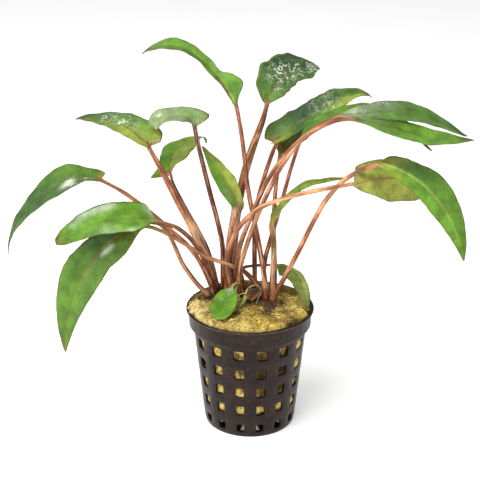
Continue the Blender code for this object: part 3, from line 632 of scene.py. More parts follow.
def stations(rows, first, last, step, parts=600):
    """Places along the rows that are about a step apart, each with its distance from the first."""
    fine = [mix(first, last, index / parts) for index in range(parts + 1)]
    lengths = [0]
    before = Vector(curve_point(rows, fine[0])[:3])
    for place in fine[1:]:
        point = Vector(curve_point(rows, place)[:3])
        lengths.append(lengths[-1] + (point - before).length)
        before = point
    count = max(2, round(lengths[-1] / step))
    result, index = [], 0
    for number in range(count + 1):
        wanted = lengths[-1] * number / count
        while index < parts and lengths[index + 1] < wanted:
            index += 1
        index = min(index, parts - 1)
        part = (wanted - lengths[index]) / max(1e-9, lengths[index + 1] - lengths[index])
        result.append((mix(fine[index], fine[index + 1], min(1, max(0, part))), wanted))
    return result


def colour_row(names):
    return [LEAF_COLOURS[name] for name in names.split(", ")]


def along_colours(colours, share):
    """Colour at a share of the way through evenly spread colours."""
    place = min(max(share, 0), 1) * (len(colours) - 1)
    start = min(int(place), len(colours) - 2) if len(colours) > 1 else 0
    after = min(start + 1, len(colours) - 1)
    return colours[start].lerp(colours[after], place - start)


def hump(distance, width):
    """One at no distance, falling smoothly towards nothing past the width."""
    return math.exp(-(distance / width) ** 2)


def make_leaf(name, stalk_widths, stalk, blade, stalk_colours, rib_colour, left_colours,
              right_colours=None, slot="leaf_green", tip_colour=None, under="yellow green", edge="olive",
              cup=0.12, wave=0.2, puffs=1, ragged=0.02, lobes=(0, 0), lobe_start=1.5, droop=0.25,
              glares=()):
    """One leaf, from the foot of its stalk to the tip of its blade, as one closed skin.

    A stalk point is (across, up, behind) in the plane of sight, in millimetres. A blade point adds
    the half widths left and right of the midrib, or one for both, and the roll in degrees that lifts
    the right edge; without a roll it keeps the last one. Colours run from the foot to the tip. Cup,
    wave, puffs and ragged give the blade its relief and its torn edge. Lobes are how far the base
    sweeps back left and right of the stalk, lobe_start is how far in that is complete, both in
    millimetres, and droop turns the sweep from level to the midrib's slope. A glare is a painted
    highlight (share of the length, side, reach in millimetres, strength): above 0 it is painted in
    broken pale lines, below 0 as a smooth painted sheen.
    """
    stalk_colours, left_colours = colour_row(stalk_colours), colour_row(left_colours)
    right_colours = colour_row(right_colours) if right_colours else left_colours
    neck = len(stalk)
    points = [Vector(seen(*point)) for point in stalk]
    foot = points[0] + (points[0] - points[1]).normalized() * FOOT_DEPTH
    rows = [(*foot, stalk_widths[0] * FOOT_WIDTH * MM, stalk_widths[0] * FOOT_WIDTH * MM, 0)]
    for index, point in enumerate(points):
        place = index / (len(stalk) - 1) * (len(stalk_widths) - 1)
        start = min(int(place), len(stalk_widths) - 2)
        half = mix(stalk_widths[start], stalk_widths[start + 1], place - start) / 2 * MM
        rows.append((*point, half, half, 0))
    for across, up, behind, *halves in blade:
        if len(halves) > 1:
            *halves, last_roll = halves
        rows.append((*seen(across, up, behind), halves[0] * MM, halves[-1] * MM, last_roll))
    heading = Vector(rows[-1][:3]) - Vector(rows[neck][:3])
    heading = Vector((heading.x, heading.y, 0)).normalized()
    level_right = heading.cross(Vector((0, 0, 1)))
    stalk_stations = stations(rows, 0, neck, STALK_STEP)
    blade_stations = stations(rows, neck, len(rows) - 1, BLADE_STEP)
    stalk_length, blade_length = stalk_stations[-1][1], blade_stations[-1][1]
    all_stations = [(place, distance, 0) for place, distance in stalk_stations[:-1]]
    all_stations += [(place, stalk_length, distance) for place, distance in blade_stations]
    seed = Vector((len(name) * 3.7, points[0].x * 900))
    verts, tints, places = [], [], []
    neck_half = rows[neck][3]
    for place, up_stalk, into in all_stations:
        x, y, z, left_half, right_half, _ = curve_point(rows, place)
        left_half, right_half = max(LEAST_HALF, left_half), max(LEAST_HALF, right_half)
        ahead = Vector(curve_point(rows, min(place + NUDGE, len(rows) - 1))[:3])
        back = Vector(curve_point(rows, max(place - NUDGE, 0))[:3])
        forward = (ahead - back).normalized()
        right = (level_right - forward * level_right.dot(forward)).normalized()
        top = right.cross(forward)
        roll = math.radians(curve_point(rows, place)[5])
        cosine, sine = math.cos(roll), math.sin(roll)
        right, top = right * cosine + top * sine, top * cosine - right * sine
        flat = min(1, into / BLADE_NECK)
        flat = flat * flat * (3 - 2 * flat)
        share = into / blade_length
        stalk_half = neck_half if into else (left_half + right_half) / 2
        thickness = mix(stalk_half * 0.9, BLADE_HALF_THICKNESS, flat)
        behind = max(0, 1 - share / LOBE_SHARE)
        swept = MM * min(1, into / (lobe_start * MM)) ** 2 * behind * behind * (3 - 2 * behind)
        sweep_way = heading * (1 - droop) + forward * droop
        rib = neck_half * (1 - share) ** 0.7
        for side in range(2 * HALF_RING):
            upper = side < HALF_RING
            s = 1 - 2 * side / HALF_RING if upper else 2 * (side - HALF_RING) / HALF_RING - 1
            spread = math.copysign(abs(s) ** 1.3, s)
            v = mix(math.sin(s * math.pi / 2), spread, flat)
            half = right_half if v > 0 else left_half
            tear = noise.noise(Vector((into / TEAR_LENGTH, 3 if v > 0 else 0, seed.x)))
            reach = v * half * (1 + flat * ragged * tear * 2 * abs(v))
            sign = 1 if upper else -1
            rise = sign * math.sqrt(max(0, 1 - v * v)) * thickness
            rise += abs(reach) * cup * flat
            if into:
                beat = math.sin(into / WAVE_LENGTH * math.tau + (1.9 if v > 0 else 0) + seed.x)
                drift = noise.noise(Vector((into / DRIFT_LENGTH, v * 1.3, seed.x)))
                rise += flat * abs(v) ** 2.2 * wave * MM * beat * min(1, (1 - share) * 4)
                rise += flat * abs(v) * 1.6 * MM * drift * wave
                puff = noise.noise(Vector((into / PUFF_LENGTH, reach / PUFF_WIDTH, seed.y)))
                rise += flat * puffs * (0.06 + 0.1 * (1 - abs(v))) * MM * puff
                groove = hump(reach, rib * 0.9 + 0.25 * MM)
                rise -= flat * groove * (GROOVE_DEPTH if upper else rib * 0.9)
                for vein in SIDE_VEINS:
                    rise -= flat * VEIN_DEPTH * hump((abs(v) - vein) * half, VEIN_REACH)
            sweep = sweep_way * swept * lobes[v > 0] * v * v
            verts.append(Vector((x, y, z)) + right * reach + top * rise - sweep)
            painted_glare = 0.0
            if into == 0:
                shade = along_colours(stalk_colours, up_stalk / stalk_length)
                # Painted light and shade across the stalk: lighter on its left, towards the key light,
                # darker on its right.
                lit_side = -(right * reach + top * rise).x / stalk_half
                shade = shade * (1 + 0.35 * lit_side)
            else:
                colours = right_colours if v > 0 else left_colours
                other = left_colours if v > 0 else right_colours
                near_rib = 0.5 * (1 - min(1, abs(v) * 4))
                shade = along_colours(colours, share).lerp(along_colours(other, share), near_rib)
                if not upper:
                    shade = shade.lerp(LEAF_COLOURS[under], UNDER_SHARE)
                # Painted glare: positive strengths set broken highlight lines, negative ones paint a smooth
                # pale sheen.
                for glare_share, glare_side, glare_reach, strength in glares if upper else ():
                    away = math.hypot((share - glare_share) * blade_length, (v - glare_side) * half)
                    if strength > 0:
                        painted_glare = max(painted_glare, strength * hump(away, glare_reach * MM))
                    else:
                        shade = shade.lerp(LEAF_COLOURS["glare"], -strength * hump(away, glare_reach * MM))
                rib_share = hump(reach, rib * 0.5 + 0.14 * MM) * max(0, 1 - share * 0.9)
                shade = shade.lerp(LEAF_COLOURS[rib_colour], 0.85 * rib_share)
                if tip_colour:
                    shade = shade.lerp(LEAF_COLOURS[tip_colour], min(1, max(0, (share - 0.9) / 0.08)))
                shade = stalk_colours[-1].lerp(shade, min(1, into / COLOUR_BLEND))
                margin = min(1, max(0, (abs(reach) - half + MARGIN_WIDTH) / MM)) ** 2
                shade = shade.lerp(LEAF_COLOURS[edge], 0.55 * margin)
            tints.append(shade)
            places.append((v, (into - (stalk_length - up_stalk)) / MM, float(upper), flat, painted_glare))
    leaf = tinted_object(name + "_grown", verts, tube_faces(0, len(all_stations), 2 * HALF_RING), tints)
    mesh = leaf.data
    for label, values in zip(LABELS, zip(*places)):
        mesh.attributes.new(label, "FLOAT", "POINT").data.foreach_set("value", values)
    shape = bmesh.new()
    shape.from_mesh(mesh)
    bmesh.ops.recalc_face_normals(shape, faces=shape.faces)
    shape.to_mesh(mesh)
    shape.free()
    mesh.materials.append(young_skin if slot == "young_green" else leaf_skin)
    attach(leaf, "root")
    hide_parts(name)


make_leaf("leaf_far_left", (2.2, 1.7), [
    (-15, 4.2, 6.9), (-17.1, 9.3, 6), (-20.4, 15.7, 4.8), (-25, 21.5, 3.6), (-31, 26.9, 3.3),
    (-38.5, 33.5, 2.9), (-49, 41.5, 1), (-58.5, 46.8, -1.5)], [
    (-60.3, 47.3, -2, 1.4, 4.5, 14), (-66, 48.6, -2.8, 5.2), (-72.5, 47.4, -4, 8, 19),
    (-80, 42.5, -5.5, 7.2, 18), (-87, 35.8, -7, 5.8, 12), (-92.5, 29, -8, 3.6, 11),
    (-95.3, 22, -8.5, 1.2, 10), (-95.6, 17.5, -8.7, 0.25, 9)],
    "red brown, orange tan, orange tan", "olive",
    "green, dark green, dark green, dark green, dark green",
    "green, green, dark green, dark green, dark green", tip_colour="black green", wave=0.12,
    lobes=(0, 3), glares=((0.25, -0.45, 2.2, 1.8), (0.25, -0.45, 2.2, -0.6), (0.29, -0.5, 1.8, -0.5),
    (0.12, -0.6, 1.8, 1)))
make_leaf("leaf_mid_left", (2.3, 1.7), [
    (-14, 5.2, 9.5), (-16, 11, 8.6), (-18.2, 15.8, 5.9), (-21, 20.6, 3.5), (-24.5, 24.8, 1),
    (-29, 28.2, -1.5), (-33, 29.6, -3.5), (-36.5, 30.6, -4.7)], [
    (-38.8, 31.3, -5.5, 1.8, 4.5, 21), (-41.5, 31.9, -6.5, 5, 7.6, 23), (-47, 31.9, -7.8, 8.2),
    (-55, 31.3, -9.5, 8.4), (-63, 29.4, -10.8, 7.4), (-70, 25.9, -11.8, 5.8, 21),
    (-74.5, 23.5, -12.5, 4, 19), (-76.9, 22.3, -12.8, 1.5, 18)],
    "dark red, red brown, brown", "olive", "bright green, bright green, green",
    "green, bright green, bright green", wave=0.12, tip_colour="olive", glares=((0.44, 0.85, 2, -0.5),
    (0.5, 0.85, 2, -0.6), (0.56, 0.83, 2, -0.55), (0.62, 0.8, 2, -0.5), (0.68, 0.77, 1.8, -0.4),
    (0.74, 0.72, 1.8, -0.35), (0.8, 0.6, 1.6, -0.3), (0.27, -1, 1.8, -0.9), (0.05, 0.9, 3, -0.4),
    (0.5, -0.9, 4, -0.25)))
make_leaf("leaf_under_left", (2.1, 1.6), [
    (-17.9, 2.9, 3.1), (-21.1, 6.2, 2.5), (-24, 10, 1.8), (-26.7, 14, 0.5), (-28.5, 18, -0.5),
    (-30.3, 22, -1.3), (-32.5, 26.3, -1.5), (-35.5, 29.4, -1)], [
    (-38, 30.3, -0.3, 1.6, 11), (-42.5, 31, 2, 4.5), (-48, 31.3, 6.5, 5.8), (-54, 30.7, 9, 5.4),
    (-60, 29, 11, 3.4), (-64.5, 27, 12.5, 0.3)],
    "pink brown, tan, brown", "brown", "green, green")
make_leaf("leaf_low_left", (1.9, 1.6), [
    (-2.8, 6.2, 12.1), (-3.6, 10, 10), (-5, 11.8, 7.4), (-8.7, 13.6, 3.3), (-12.5, 14.9, 1.9),
    (-18.5, 17.3, 0.2), (-25, 21.3, -2.3), (-31, 24.8, -4.5), (-36.5, 27.5, -5.5), (-41, 28.7, -5.3)], [
    (-44.5, 28.6, -4.5, 1.2, 1.6, 36), (-48.5, 26.8, -4, 3.8, 3.4, 50), (-54, 23, -4.5, 6.8, 5.8, 62),
    (-60.5, 17, -5.5, 7.2, 7.3, 64), (-66, 9, -6.5, 7.6, 8.6, 62), (-70, 0, -7.5, 6.4, 7, 60),
    (-72.3, -9, -8.5, 4.2, 4.4, 60), (-73, -16.5, -9, 2), (-73, -21, -9.3, 0.3)],
    "red brown, tan, orange tan, olive", "brown", "olive, green, green, green, green",
    "green, dark green, green, green, dark green", wave=0.12, lobes=(2.5, 0),
    tip_colour="olive", glares=((0.245, -0.17, 1, -0.35), (0.26, -0.16, 1, -0.5), (0.275, -0.16, 1, -0.6),
    (0.29, -0.16, 1, -0.6), (0.305, -0.16, 1, -0.5), (0.32, -0.16, 0.9, -0.4),
    (0.335, -0.17, 0.8, -0.3)))
make_leaf("leaf_upper_left", (2.2, 2.6, 4, 2.8, 2), [
    (-13.5, 6.1, 11.8), (-14.5, 10.5, 11.8), (-16, 15, 11.9), (-18.6, 20, 12.1), (-21.5, 26, 12.5),
    (-25, 32.5, 13.5), (-29.5, 40.5, 15), (-35, 51, 17), (-40, 60, 18.5)], [
    (-41, 61.5, 19.5, 2, 4, 26), (-42.5, 63, 21, 3.4, 7, 28), (-45.5, 65.8, 24.5, 4.4, 7.6, 25),
    (-50, 68.6, 29.5, 5.2, 7.2, 21), (-56, 70.6, 34.5, 4.8, 5.8, 17), (-62, 71.5, 38.5, 3.6),
    (-66.5, 71.6, 41, 1.6), (-69, 71.2, 42.5, 0.3)],
    "dark brown, red brown, pale sheath, tan, red brown, red brown, brown", "dark red",
    "yellow green, yellow green, green, olive", "yellow green, green, dark green, dark green",
    lobes=(4, 4), puffs=2, glares=((0.45, 0.2, 3.2, 1), (0.62, 0.2, 3, 1), (0.3, 0.4, 2, 0.5)))
make_leaf("leaf_inner_left", (2.3, 1.9), [
    (-10.7, 6.8, 13.2), (-10.7, 15, 13), (-11, 22, 13.1), (-13, 31.5, 13.5), (-15.7, 41.5, 13.7),
    (-18.3, 52, 14), (-20.5, 61, 14.3), (-21.8, 67.5, 14.5)], [
    (-22.1, 69.8, 14.8, 1.4, 1.2, 42), (-23, 71.3, 15.1, 2.4, 2.7, 42), (-24.6, 72.3, 15.9, 3.6, 4, 34),
    (-27.5, 72.8, 17, 5, 5.2, 18), (-32.5, 72.4, 18.6, 6.8, 5.3, 22), (-36.6, 71.2, 19.7, 6.8, 4.2, 38),
    (-38.8, 69.4, 20.2, 5.4, 2.2, 58), (-38.6, 67.6, 20.4, 3, 1, 68), (-37.2, 66.2, 20.3, 0.5, 70)],
    "red brown, dark red, dark red, dark brown, black brown", "yellow green",
    "dark green, grey green, grey green, pale green", "green, grey green, grey green", lobes=(0, 10),
    lobe_start=4, droop=0, tip_colour="brown", glares=((0.07, -0.1, 1, -0.9), (0.7, 0.3, 0.7, -0.9)))
make_leaf("leaf_behind_left", (2.0, 1.6), [
    (-13.5, 7.4, 14.8), (-14.5, 12, 15.8), (-17, 20, 17.5), (-20.5, 27, 19.5), (-24.5, 34, 21.5),
    (-28, 40.5, 23), (-30.5, 45.5, 24), (-31.4, 49, 24.8)], [
    (-31.8, 50.8, 26.9, 7, 2.4, 0), (-32, 53, 29.5, 3.4, 5, 0), (-31.2, 55.5, 32.5, 4.6, 7.2, 0),
    (-29, 58.8, 37.5, 6, 7.6, 0), (-25, 61.8, 42.5, 4.2, 6, 0), (-21.3, 63.8, 46, 1.6, 2.6, 0),
    (-19, 64.3, 48.4, 0.9), (-17.6, 63.4, 49, 0.7), (-17.2, 61.6, 49, 0.3)],
    "dark red, dark red, red brown", "brown", "bright green, bright green, yellow green",
    "yellow green, yellow green, bright green", lobes=(3.5, 3.5), tip_colour="dark green")
make_leaf("leaf_young_centre", (3.0, 4.4), [
    (-8.9, 5.6, 10.1), (-8.7, 11, 10.3), (-8.3, 17, 10.5), (-7.4, 24, 10.7), (-6.3, 30, 11.1),
    (-5.4, 34.5, 11.9)], [
    (-5.2, 37.4, 13.5, 2.6, 3.2, 68), (-6.7, 40.8, 16.1, 3.6, 4.8, 78), (-8.9, 44.8, 19.1, 4, 5.4, 78),
    (-11.8, 49.5, 21.1, 3.6, 4.6, 78), (-15, 54.5, 22.5, 2.4, 3, 78), (-17.5, 58.5, 23.3, 1.2),
    (-19, 60.3, 23.5, 0.3)],
    "red brown, brown, pink brown, grey sheath", "olive", "green, bright green, green",
    "olive, yellow green, yellow green, green", slot="young_green", tip_colour="brown")
make_leaf("leaf_top_left", (2.4, 1.8), [
    (6.3, 1.8, 0.5), (5.8, 8, 2), (4.6, 15.5, 5), (3.3, 23, 8), (1.6, 31.5, 11), (0, 39, 13),
    (-1.3, 47, 15.5), (-2.2, 56, 18.5), (-3.5, 66, 22.5), (-5.2, 75.5, 26.5)], [
    (-6.2, 78, 27.3, 1, 1.8, 78), (-8.3, 82, 28.7, 1.3, 6.8, 78), (-10.5, 85.8, 30, 1.6, 5.2, 78),
    (-13, 89, 31.5, 2.2, 1.8, 60), (-17, 93, 33.5, 2.5, 2.6, 30), (-22, 97, 35.5, 3, 3.6, 15),
    (-28, 100, 37, 4.6), (-34, 100.4, 38, 5.2, 4.8, 15), (-39.5, 98.8, 38.5, 2.6, 2.4, 18),
    (-42.8, 97, 38.7, 0.3, 20)],
    "dark red, red brown, red brown", "yellow green", "dark green, green, green, green",
    "green, bright green, bright green, green", tip_colour="brown")
make_leaf("leaf_top_centre", (2.6, 3.4, 3.8, 3, 2.0), [
    (-7.2, 7.4, 14.7), (-6.3, 20, 17), (-5.2, 33, 19.5), (-3.5, 43.5, 22), (-1, 53.5, 24.5),
    (2, 62.5, 27.5), (4.8, 70, 30), (6.6, 76.5, 32)], [
    (7, 78.2, 32.5, 1.8, -38), (9, 82, 34.3, 7.5, 4.5, -46), (12.3, 86.8, 37.3, 9.6, 6, -48),
    (17, 90.2, 40.5, 8.8, 5.8, -43), (22.5, 91.6, 43.5, 4.8, 6.5, -34), (26, 91.5, 45.2, 2.2, -29),
    (27.8, 91, 46.3, 0.3)],
    "red brown, pink brown, red brown, pink brown, brown, brown", "olive",
    "green, deep green, dark green", "green, dark green, dark green", lobes=(1, 0.5), puffs=3.5,
    ragged=0.07, glares=((0.45, -0.2, 4, 1.2), (0.6, 0.1, 4, 1.1), (0.3, 0.2, 2.5, 0.8),
    (0.85, 0.2, 3.5, 0.9)))
make_leaf("leaf_back_right", (2.3, 1.9), [
    (1.9, 7.7, 16), (1.8, 15, 17.5), (1.8, 23, 19.5), (2, 32, 21.5), (3.6, 41, 23), (6.2, 50, 25),
    (8.6, 57, 26.5), (10.6, 61.8, 28)], [
    (11.2, 63, 28.5, 2.5, 2, -17), (13.5, 65.3, 29, 6.5, 5, -25), (19, 69.3, 30, 7, 5.5, -27),
    (27, 74.3, 31.5, 7, 5.5, -28), (35, 78.7, 32.8, 6, 5, -26), (42, 81, 33.8, 4, 3.4, -18),
    (46.5, 80.8, 34.5, 1.5), (48.3, 79.8, 34.7, 0.3)],
    "dark red, red brown, red brown", "olive", "green, deep green, dark green, green",
    "yellow green, dark green, green, yellow green, yellow green", lobes=(5, 5), puffs=3, ragged=0.05,
    tip_colour="brown", glares=((0.55, -0.2, 7, 0.35), (0.6, 0.8, 2.2, 1.2), (0.45, 0.8, 2, 1)))
make_leaf("leaf_hidden_right", (2.1, 1.7), [
    (9.6, 4.6, 7.7), (9.8, 13, 10.5), (9.4, 24, 14.5), (9.5, 34, 18.5), (10, 42, 22), (10.7, 49, 25.5),
    (11.7, 56, 29.5)], [
    (12.3, 58, 31, 1.5, -15), (14, 61, 33.5, 5, -16), (17.5, 65, 37.5, 6.5, -17), (22, 68.5, 41.5, 6),
    (27, 71, 45, 4), (31, 72, 47.5, 1.8), (33.5, 72, 49, 0.3)],
    "dark red, red brown, red brown", "brown", "olive, dark green")
make_leaf("leaf_rear_right", (2.1, 1.7), [
    (5.4, 4.4, 7.3), (5.8, 14.5, 8.3), (7.8, 22.5, 9.5), (10.2, 30.5, 11), (12.3, 37.5, 12.5),
    (14.2, 44.5, 13.7), (16.3, 52, 15), (19.3, 61, 16.3)], [
    (20.5, 63.5, 16.9, 1.5, -16), (25, 67.6, 17.9, 4, 3.2, -21), (34, 72, 19, 4.5), (45, 74, 20, 5, 6, -21),
    (56, 71.5, 19.5, 5, 6, -17), (64, 66.4, 18.5, 3.5, -16), (69.5, 60.5, 17.5, 1.5, -15),
    (72, 58.6, 17, 0.3)],
    "dark red, red brown, red brown", "brown", "green, green, dark green",
    "green, dark green, dark green", tip_colour="black green")
make_leaf("leaf_upper_right", (2.3, 1.8), [
    (-5.9, 6.1, 11.3), (-5.2, 14, 10.9), (-3.8, 21.5, 10.3), (-1.5, 28, 9.7), (1, 34, 9.1), (3.6, 40, 8.5),
    (6.5, 46, 7.7), (10.3, 52, 6.9), (15.5, 58.5, 5.5), (22, 64.5, 4.5), (29, 69.3, 3.5), (35, 72, 3)], [
    (37, 72.6, 2.9, 1.8, -17), (42, 73.2, 2.9, 4, 3.5, -17), (49, 73.8, 3, 5.6, 5, -19),
    (57, 74.2, 3.3, 6.2, 7.4, -19), (65, 73.2, 3.5, 6.6, 7, -17), (73, 70.4, 3.5, 5.2),
    (80, 67, 3.3, 3, -16), (84, 65, 2.9, 1.3, -15), (86, 64.5, 2.5, 0.3)],
    "red brown, tan, pink brown, brown, brown", "olive",
    "grey green, dark green, green, dark green", "grey green, green, green, green",
    wave=0.1, glares=((0.12, -0.3, 4, 0.4), (0.12, -0.3, 5, -0.2), (0.35, -0.6, 4, 0.25),
    (0.35, -0.8, 5, -0.15)))
make_leaf("leaf_mid_right", (2.2, 1.8), [
    (-4.6, 4.1, 6.7), (-3.9, 12, 4.8), (-2.2, 18.5, 4.3), (0, 25, 3.7), (2.2, 31, 3.3), (4.5, 36.5, 2.9),
    (7.5, 43, 2.5), (10.7, 49.5, 2.1), (14.5, 55.5, 1.5), (20, 62.5, 0.1), (27, 67.5, -1.9),
    (34, 70.5, -3.5), (40, 71.1, -4.5)], [
    (42.5, 70.9, -4.9, 1.8, -17), (48, 70.2, -5.5, 2, 5, -17), (55, 68.4, -6.3, 3, 7.6, -17),
    (62.5, 66.2, -7, 5.5, 7.6, -17), (70, 64.2, -7.5, 5.2, 7, -17), (77, 63.2, -7.8, 4.4, 4.8, -16),
    (83, 62.8, -8, 2.4, 2.6, -16), (88.5, 62.9, -8.1, 0.3)],
    "red brown, tan, pink brown, pink brown, brown", "olive",
    "grey green, green, bright green, green", "green, bright green, bright green", wave=0.1,
    tip_colour="olive")
make_leaf("leaf_low_right", (2.3, 1.8), [
    (9.6, 1.3, -0.5), (12, 5.5, -1.3), (15.3, 11.5, -2.3), (19.8, 20, -3.5), (24.5, 29.5, -4.8),
    (29, 37.5, -6), (34, 44, -7.5), (38, 47.5, -8.5), (42, 50, -9.3), (46, 51.8, -10.2),
    (50, 52.8, -11.1)], [
    (51.5, 53, -11.5, 1.2, -33), (54, 52.8, -12.1, 4, 2.6, -37), (58, 51.4, -13, 5, 3.8, -43),
    (64, 48.3, -14.2, 5.6, 4.6, -52), (70, 43.6, -15.7, 6.8, 4.8, -60), (75.4, 37.2, -17, 6.3, 4.8, -63),
    (79.8, 29.5, -18.5, 4.8, 3.6, -63), (83, 21.5, -19.5, 2.6, 2, -60), (84.6, 15, -20, 0.3)],
    "brown, red brown, orange tan, tan, pink brown", "pale green",
    "olive, dark green, green, green, green",
    "yellow green, bright green, bright green, bright green", wave=0.15)
make_leaf("leaf_turned_right", (2.2, 1.7), [
    (-7.6, 4.4, 7.1), (-8.7, 12, 7.1), (-8.6, 19, 6), (-6.3, 25, 4), (-3, 30, 2.2), (0.5, 33.5, 0.5),
    (5, 36.5, -1.5), (10, 38.6, -3.5), (16, 40.5, -6), (24, 42.4, -9.5), (32, 43.9, -12.7),
    (39.5, 45.3, -13.6)], [
    (42, 45.8, -12.4, 1.8, 80), (46, 46.4, -9, 5, 6.8, 128), (52, 47.3, -5, 8.4, 130),
    (59, 47.3, -3, 8.2, 7.6, 112), (67, 46.2, -1.1, 7.4, 6, 98), (73, 44, 0, 4.8, 4, 88),
    (77.5, 41.6, 0.5, 2), (80, 40, 0.5, 0.3)],
    "red brown, pink brown, tan, tan", "pink brown", "yellow green, yellow green, green",
    "yellow green, yellow green, bright green", lobes=(0, 2.2), lobe_start=3, under="pale olive")
make_leaf("leaf_young_right", (2.4, 2.6), [
    (8.7, 2.8, 3.5), (8.9, 10, 3), (9.4, 17, 2.5), (9.3, 24, 2), (8.6, 28.5, 1.7)], [
    (8.7, 30.5, 1.5, 1.2, 28), (10.5, 34.3, 1.5, 1.7, 38), (14, 38.3, 1.5, 1.9), (18.5, 42.5, 1.5, 2.2),
    (23.5, 45.2, 1.5, 2.4, 33), (29.5, 46.5, 1.5, 2.1, 28), (35, 47.4, 1.5, 1.2), (39.3, 48, 1.5, 0.3)],
    "red brown, pink tan, pink tan, olive, brown", "yellow green", "grey green, bright green",
    "bright green, bright green", slot="young_green", cup=0.5, wave=0.15, edge="brown")
make_leaf("leaf_small_front", (1.5, 1.2), [
    (-5.3, 3.4, 4.6), (-4.9, 5.6, 4.4), (-5.6, 6.2, 3.8), (-6.6, 5.4, 3.2)], [
    (-7.3, 4.2, 2.2, 0.9, 0), (-8.1, 3, -0.2, 3), (-9.5, -0.2, -5, 4.9, 4.8, 0),
    (-10.7, -3.6, -11, 4.9, 4.8, 0), (-11.4, -6.4, -15.8, 3.8), (-11.8, -8, -18.4, 1.6)],
    "green stalk, green stalk", "bright green", "bright green, bright green", slot="young_green", wave=0.15,
    edge="bright green", glares=((0.12, -0.2, 2.2, 1.2), (0.4, 0.3, 3, 0.25)))
make_leaf("leaf_draping_back", (2.3, 1.8, 1.3, 1.3), [
    (2.4, 6.4, 12.7), (0, 8.8, 13.6), (-1.9, 10.6, 14.4), (-2.9, 11.5, 15.4), (-2.7, 12.3, 16.8),
    (-1.2, 12.8, 18.4), (1, 13.1, 20), (5.5, 13.4, 21.4), (10.5, 13.2, 22.4)], [
    (13.4, 12.2, 22.6, 2, 5, 0), (17.2, 10.6, 20.4, 2.5, 6, 0), (19.6, 7.3, 14.3, 2.5, 4.6, 0),
    (21.3, 2.8, 4.4, 2.3, 3, 0), (22.3, -1, -3.5, 1.5, 2, 0), (22.8, -3.5, -8.7, 0.3)],
    "pink brown, red brown, brown, green stalk", "dark green", "yellow green, pale olive, green",
    "bright green, yellow green, olive", edge="dark green")
make_leaf("tiny_shoot", (0.9, 0.8), [
    (-4, -3.1, -4.6), (-3.4, -2.3, -4.4)], [
    (-3, -1.8, -4, 0.55, -50), (-2.2, -0.4, -3.8, 0.65), (-1.3, 1.1, -3.6, 0.25)],
    "green stalk, lime", "pale vein", "lime, lime", slot="young_green", wave=0)
make_leaf("withered_leaf", (1.2, 1.2), [
    (3.4, 1.2, 6), (3.4, 2.4, 6)], [
    (3, 3.6, 5.6, 1.8, 0), (1.8, 3.9, 4, 2.6), (0.4, 2.4, 1.4, 2.6), (-0.7, 0, -1.2, 1.6)],
    "pink brown, brown", "black brown", "dark brown, black brown, dark brown",
    "dark brown, black brown, pink brown", slot="papery_brown", cup=-0.45, wave=0.3, under="black brown",
    edge="pale sheath")

# Loose roots. Thin brown and green threads that curl over the wool beside the small front leaf and
# round the withered scrap.
ROOT_STEPS = 4
# Each root is (colour, radius, points like those of a stalk), in millimetres.
ROOTS = (
    ((118, 84, 44), 0.32, ((-7.1, 4.1, 5), (-5.9, 6.1, 5), (-4.5, 6.9, 5.2), (-3.6, 5.9, 5),
     (-3.2, 4, 4.5), (-3, 2, 4))),
    ((196, 156, 122), 0.4, ((-4.5, 6.4, 5), (-5.4, 4.9, 4), (-5.6, 3, 2), (-4.7, 1.3, 0),
     (-4.2, -0.8, -2), (-4.9, -2.8, -3.4))),
    ((206, 182, 120), 0.3, ((-5, 0.9, 1), (-3.6, 1.9, 1.5), (-1.9, 2.1, 1.5), (-2.3, 0.8, 0.3),
     (-3.4, -1.4, -2), (-4, -3, -3.5))),
    ((188, 170, 108), 0.34, ((-2.3, 0.4, -2), (-1.7, 2, -1), (-0.8, 4, 1), (1.4, 5.3, 3),
     (3.3, 4.9, 4.5), (4.4, 3.8, 4.5))),
    ((134, 142, 98), 0.22, ((4.2, 4.2, 3), (4.5, 2.6, 1.5), (3.6, 1, 0), (2.9, -0.6, -1.4),
     (2.6, -1.9, -2.4))))
root_strands, root_colours = [], []
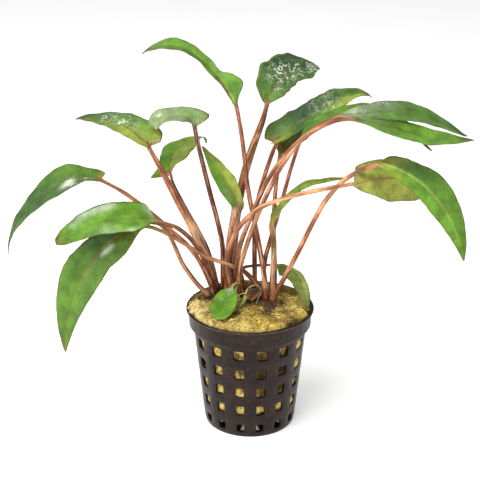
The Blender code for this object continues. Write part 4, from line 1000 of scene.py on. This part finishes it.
for colour, radius, places in ROOTS:
    smooth = [curve_point(places, step / ROOT_STEPS)
              for step in range(ROOT_STEPS * (len(places) - 1) + 1)]
    root_strands.append(([seen(*place) for place in smooth], radius * MM))
    root_colours.append(Vector(linear(*colour)))
roots = strand_mesh("loose_roots", root_strands, root_colours)
roots.data.materials.append(fibre_finish)
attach(roots, "root")

# Floor, light and camera. A white sweep under soft light from the upper left, seen from a little
# above, as the plant stands on a table.
bpy.ops.mesh.primitive_plane_add(size=12)
floor = bpy.context.object
floor.name = "floor"
floor_finish = finish("floor_mat", (0.95, 0.95, 0.95), 0.9,
                      **{"Emission Color": (1, 1, 1, 1), "Emission Strength": 0.22})
mottle = between(grain(floor_finish, 0.4), 0.3, 0.7)
dress(floor_finish, blend_colours(mottle, (0.94, 0.94, 0.94, 1), (0.96, 0.96, 0.96, 1)))
floor.data.materials.append(floor_finish)

world = bpy.data.worlds.new("studio")
bpy.context.scene.world = world
world.use_nodes = True
world.node_tree.nodes["Background"].inputs[0].default_value = (1, 1, 1, 1)
world.node_tree.nodes["Background"].inputs[1].default_value = 0.62


def softbox(name, place, size, power):
    light = bpy.data.lights.new(name, "AREA")
    light.size = size
    light.energy = power
    holder = bpy.data.objects.new(name, light)
    holder.location = place
    holder.rotation_euler = (Vector((0, 0, 0.06)) - Vector(place)).to_track_quat("-Z", "Y").to_euler()
    bpy.context.collection.objects.link(holder)


softbox("key_light", (-0.5, -0.45, 0.85), 1, 13.5)
softbox("side_light", (-0.85, -0.3, 0.3), 0.4, 2.2)
softbox("fill_light", (0.8, -0.7, 0.5), 0.8, 2)

IMAGE_WIDTH = 480
FOCAL_PIXELS = 1012
SENSOR_WIDTH = 36
camera_data = bpy.data.cameras.new("camera")
camera_data.sensor_width = SENSOR_WIDTH
camera_data.lens = FOCAL_PIXELS * SENSOR_WIDTH / IMAGE_WIDTH
camera_data.clip_start = 0.01
camera = bpy.data.objects.new("camera", camera_data)
camera.location = EYE
camera.rotation_euler = (math.pi / 2 - SIGHT_TILT, 0, 0)
bpy.context.collection.objects.link(camera)
bpy.context.scene.camera = camera
bpy.context.scene.view_settings.view_transform = "Standard"
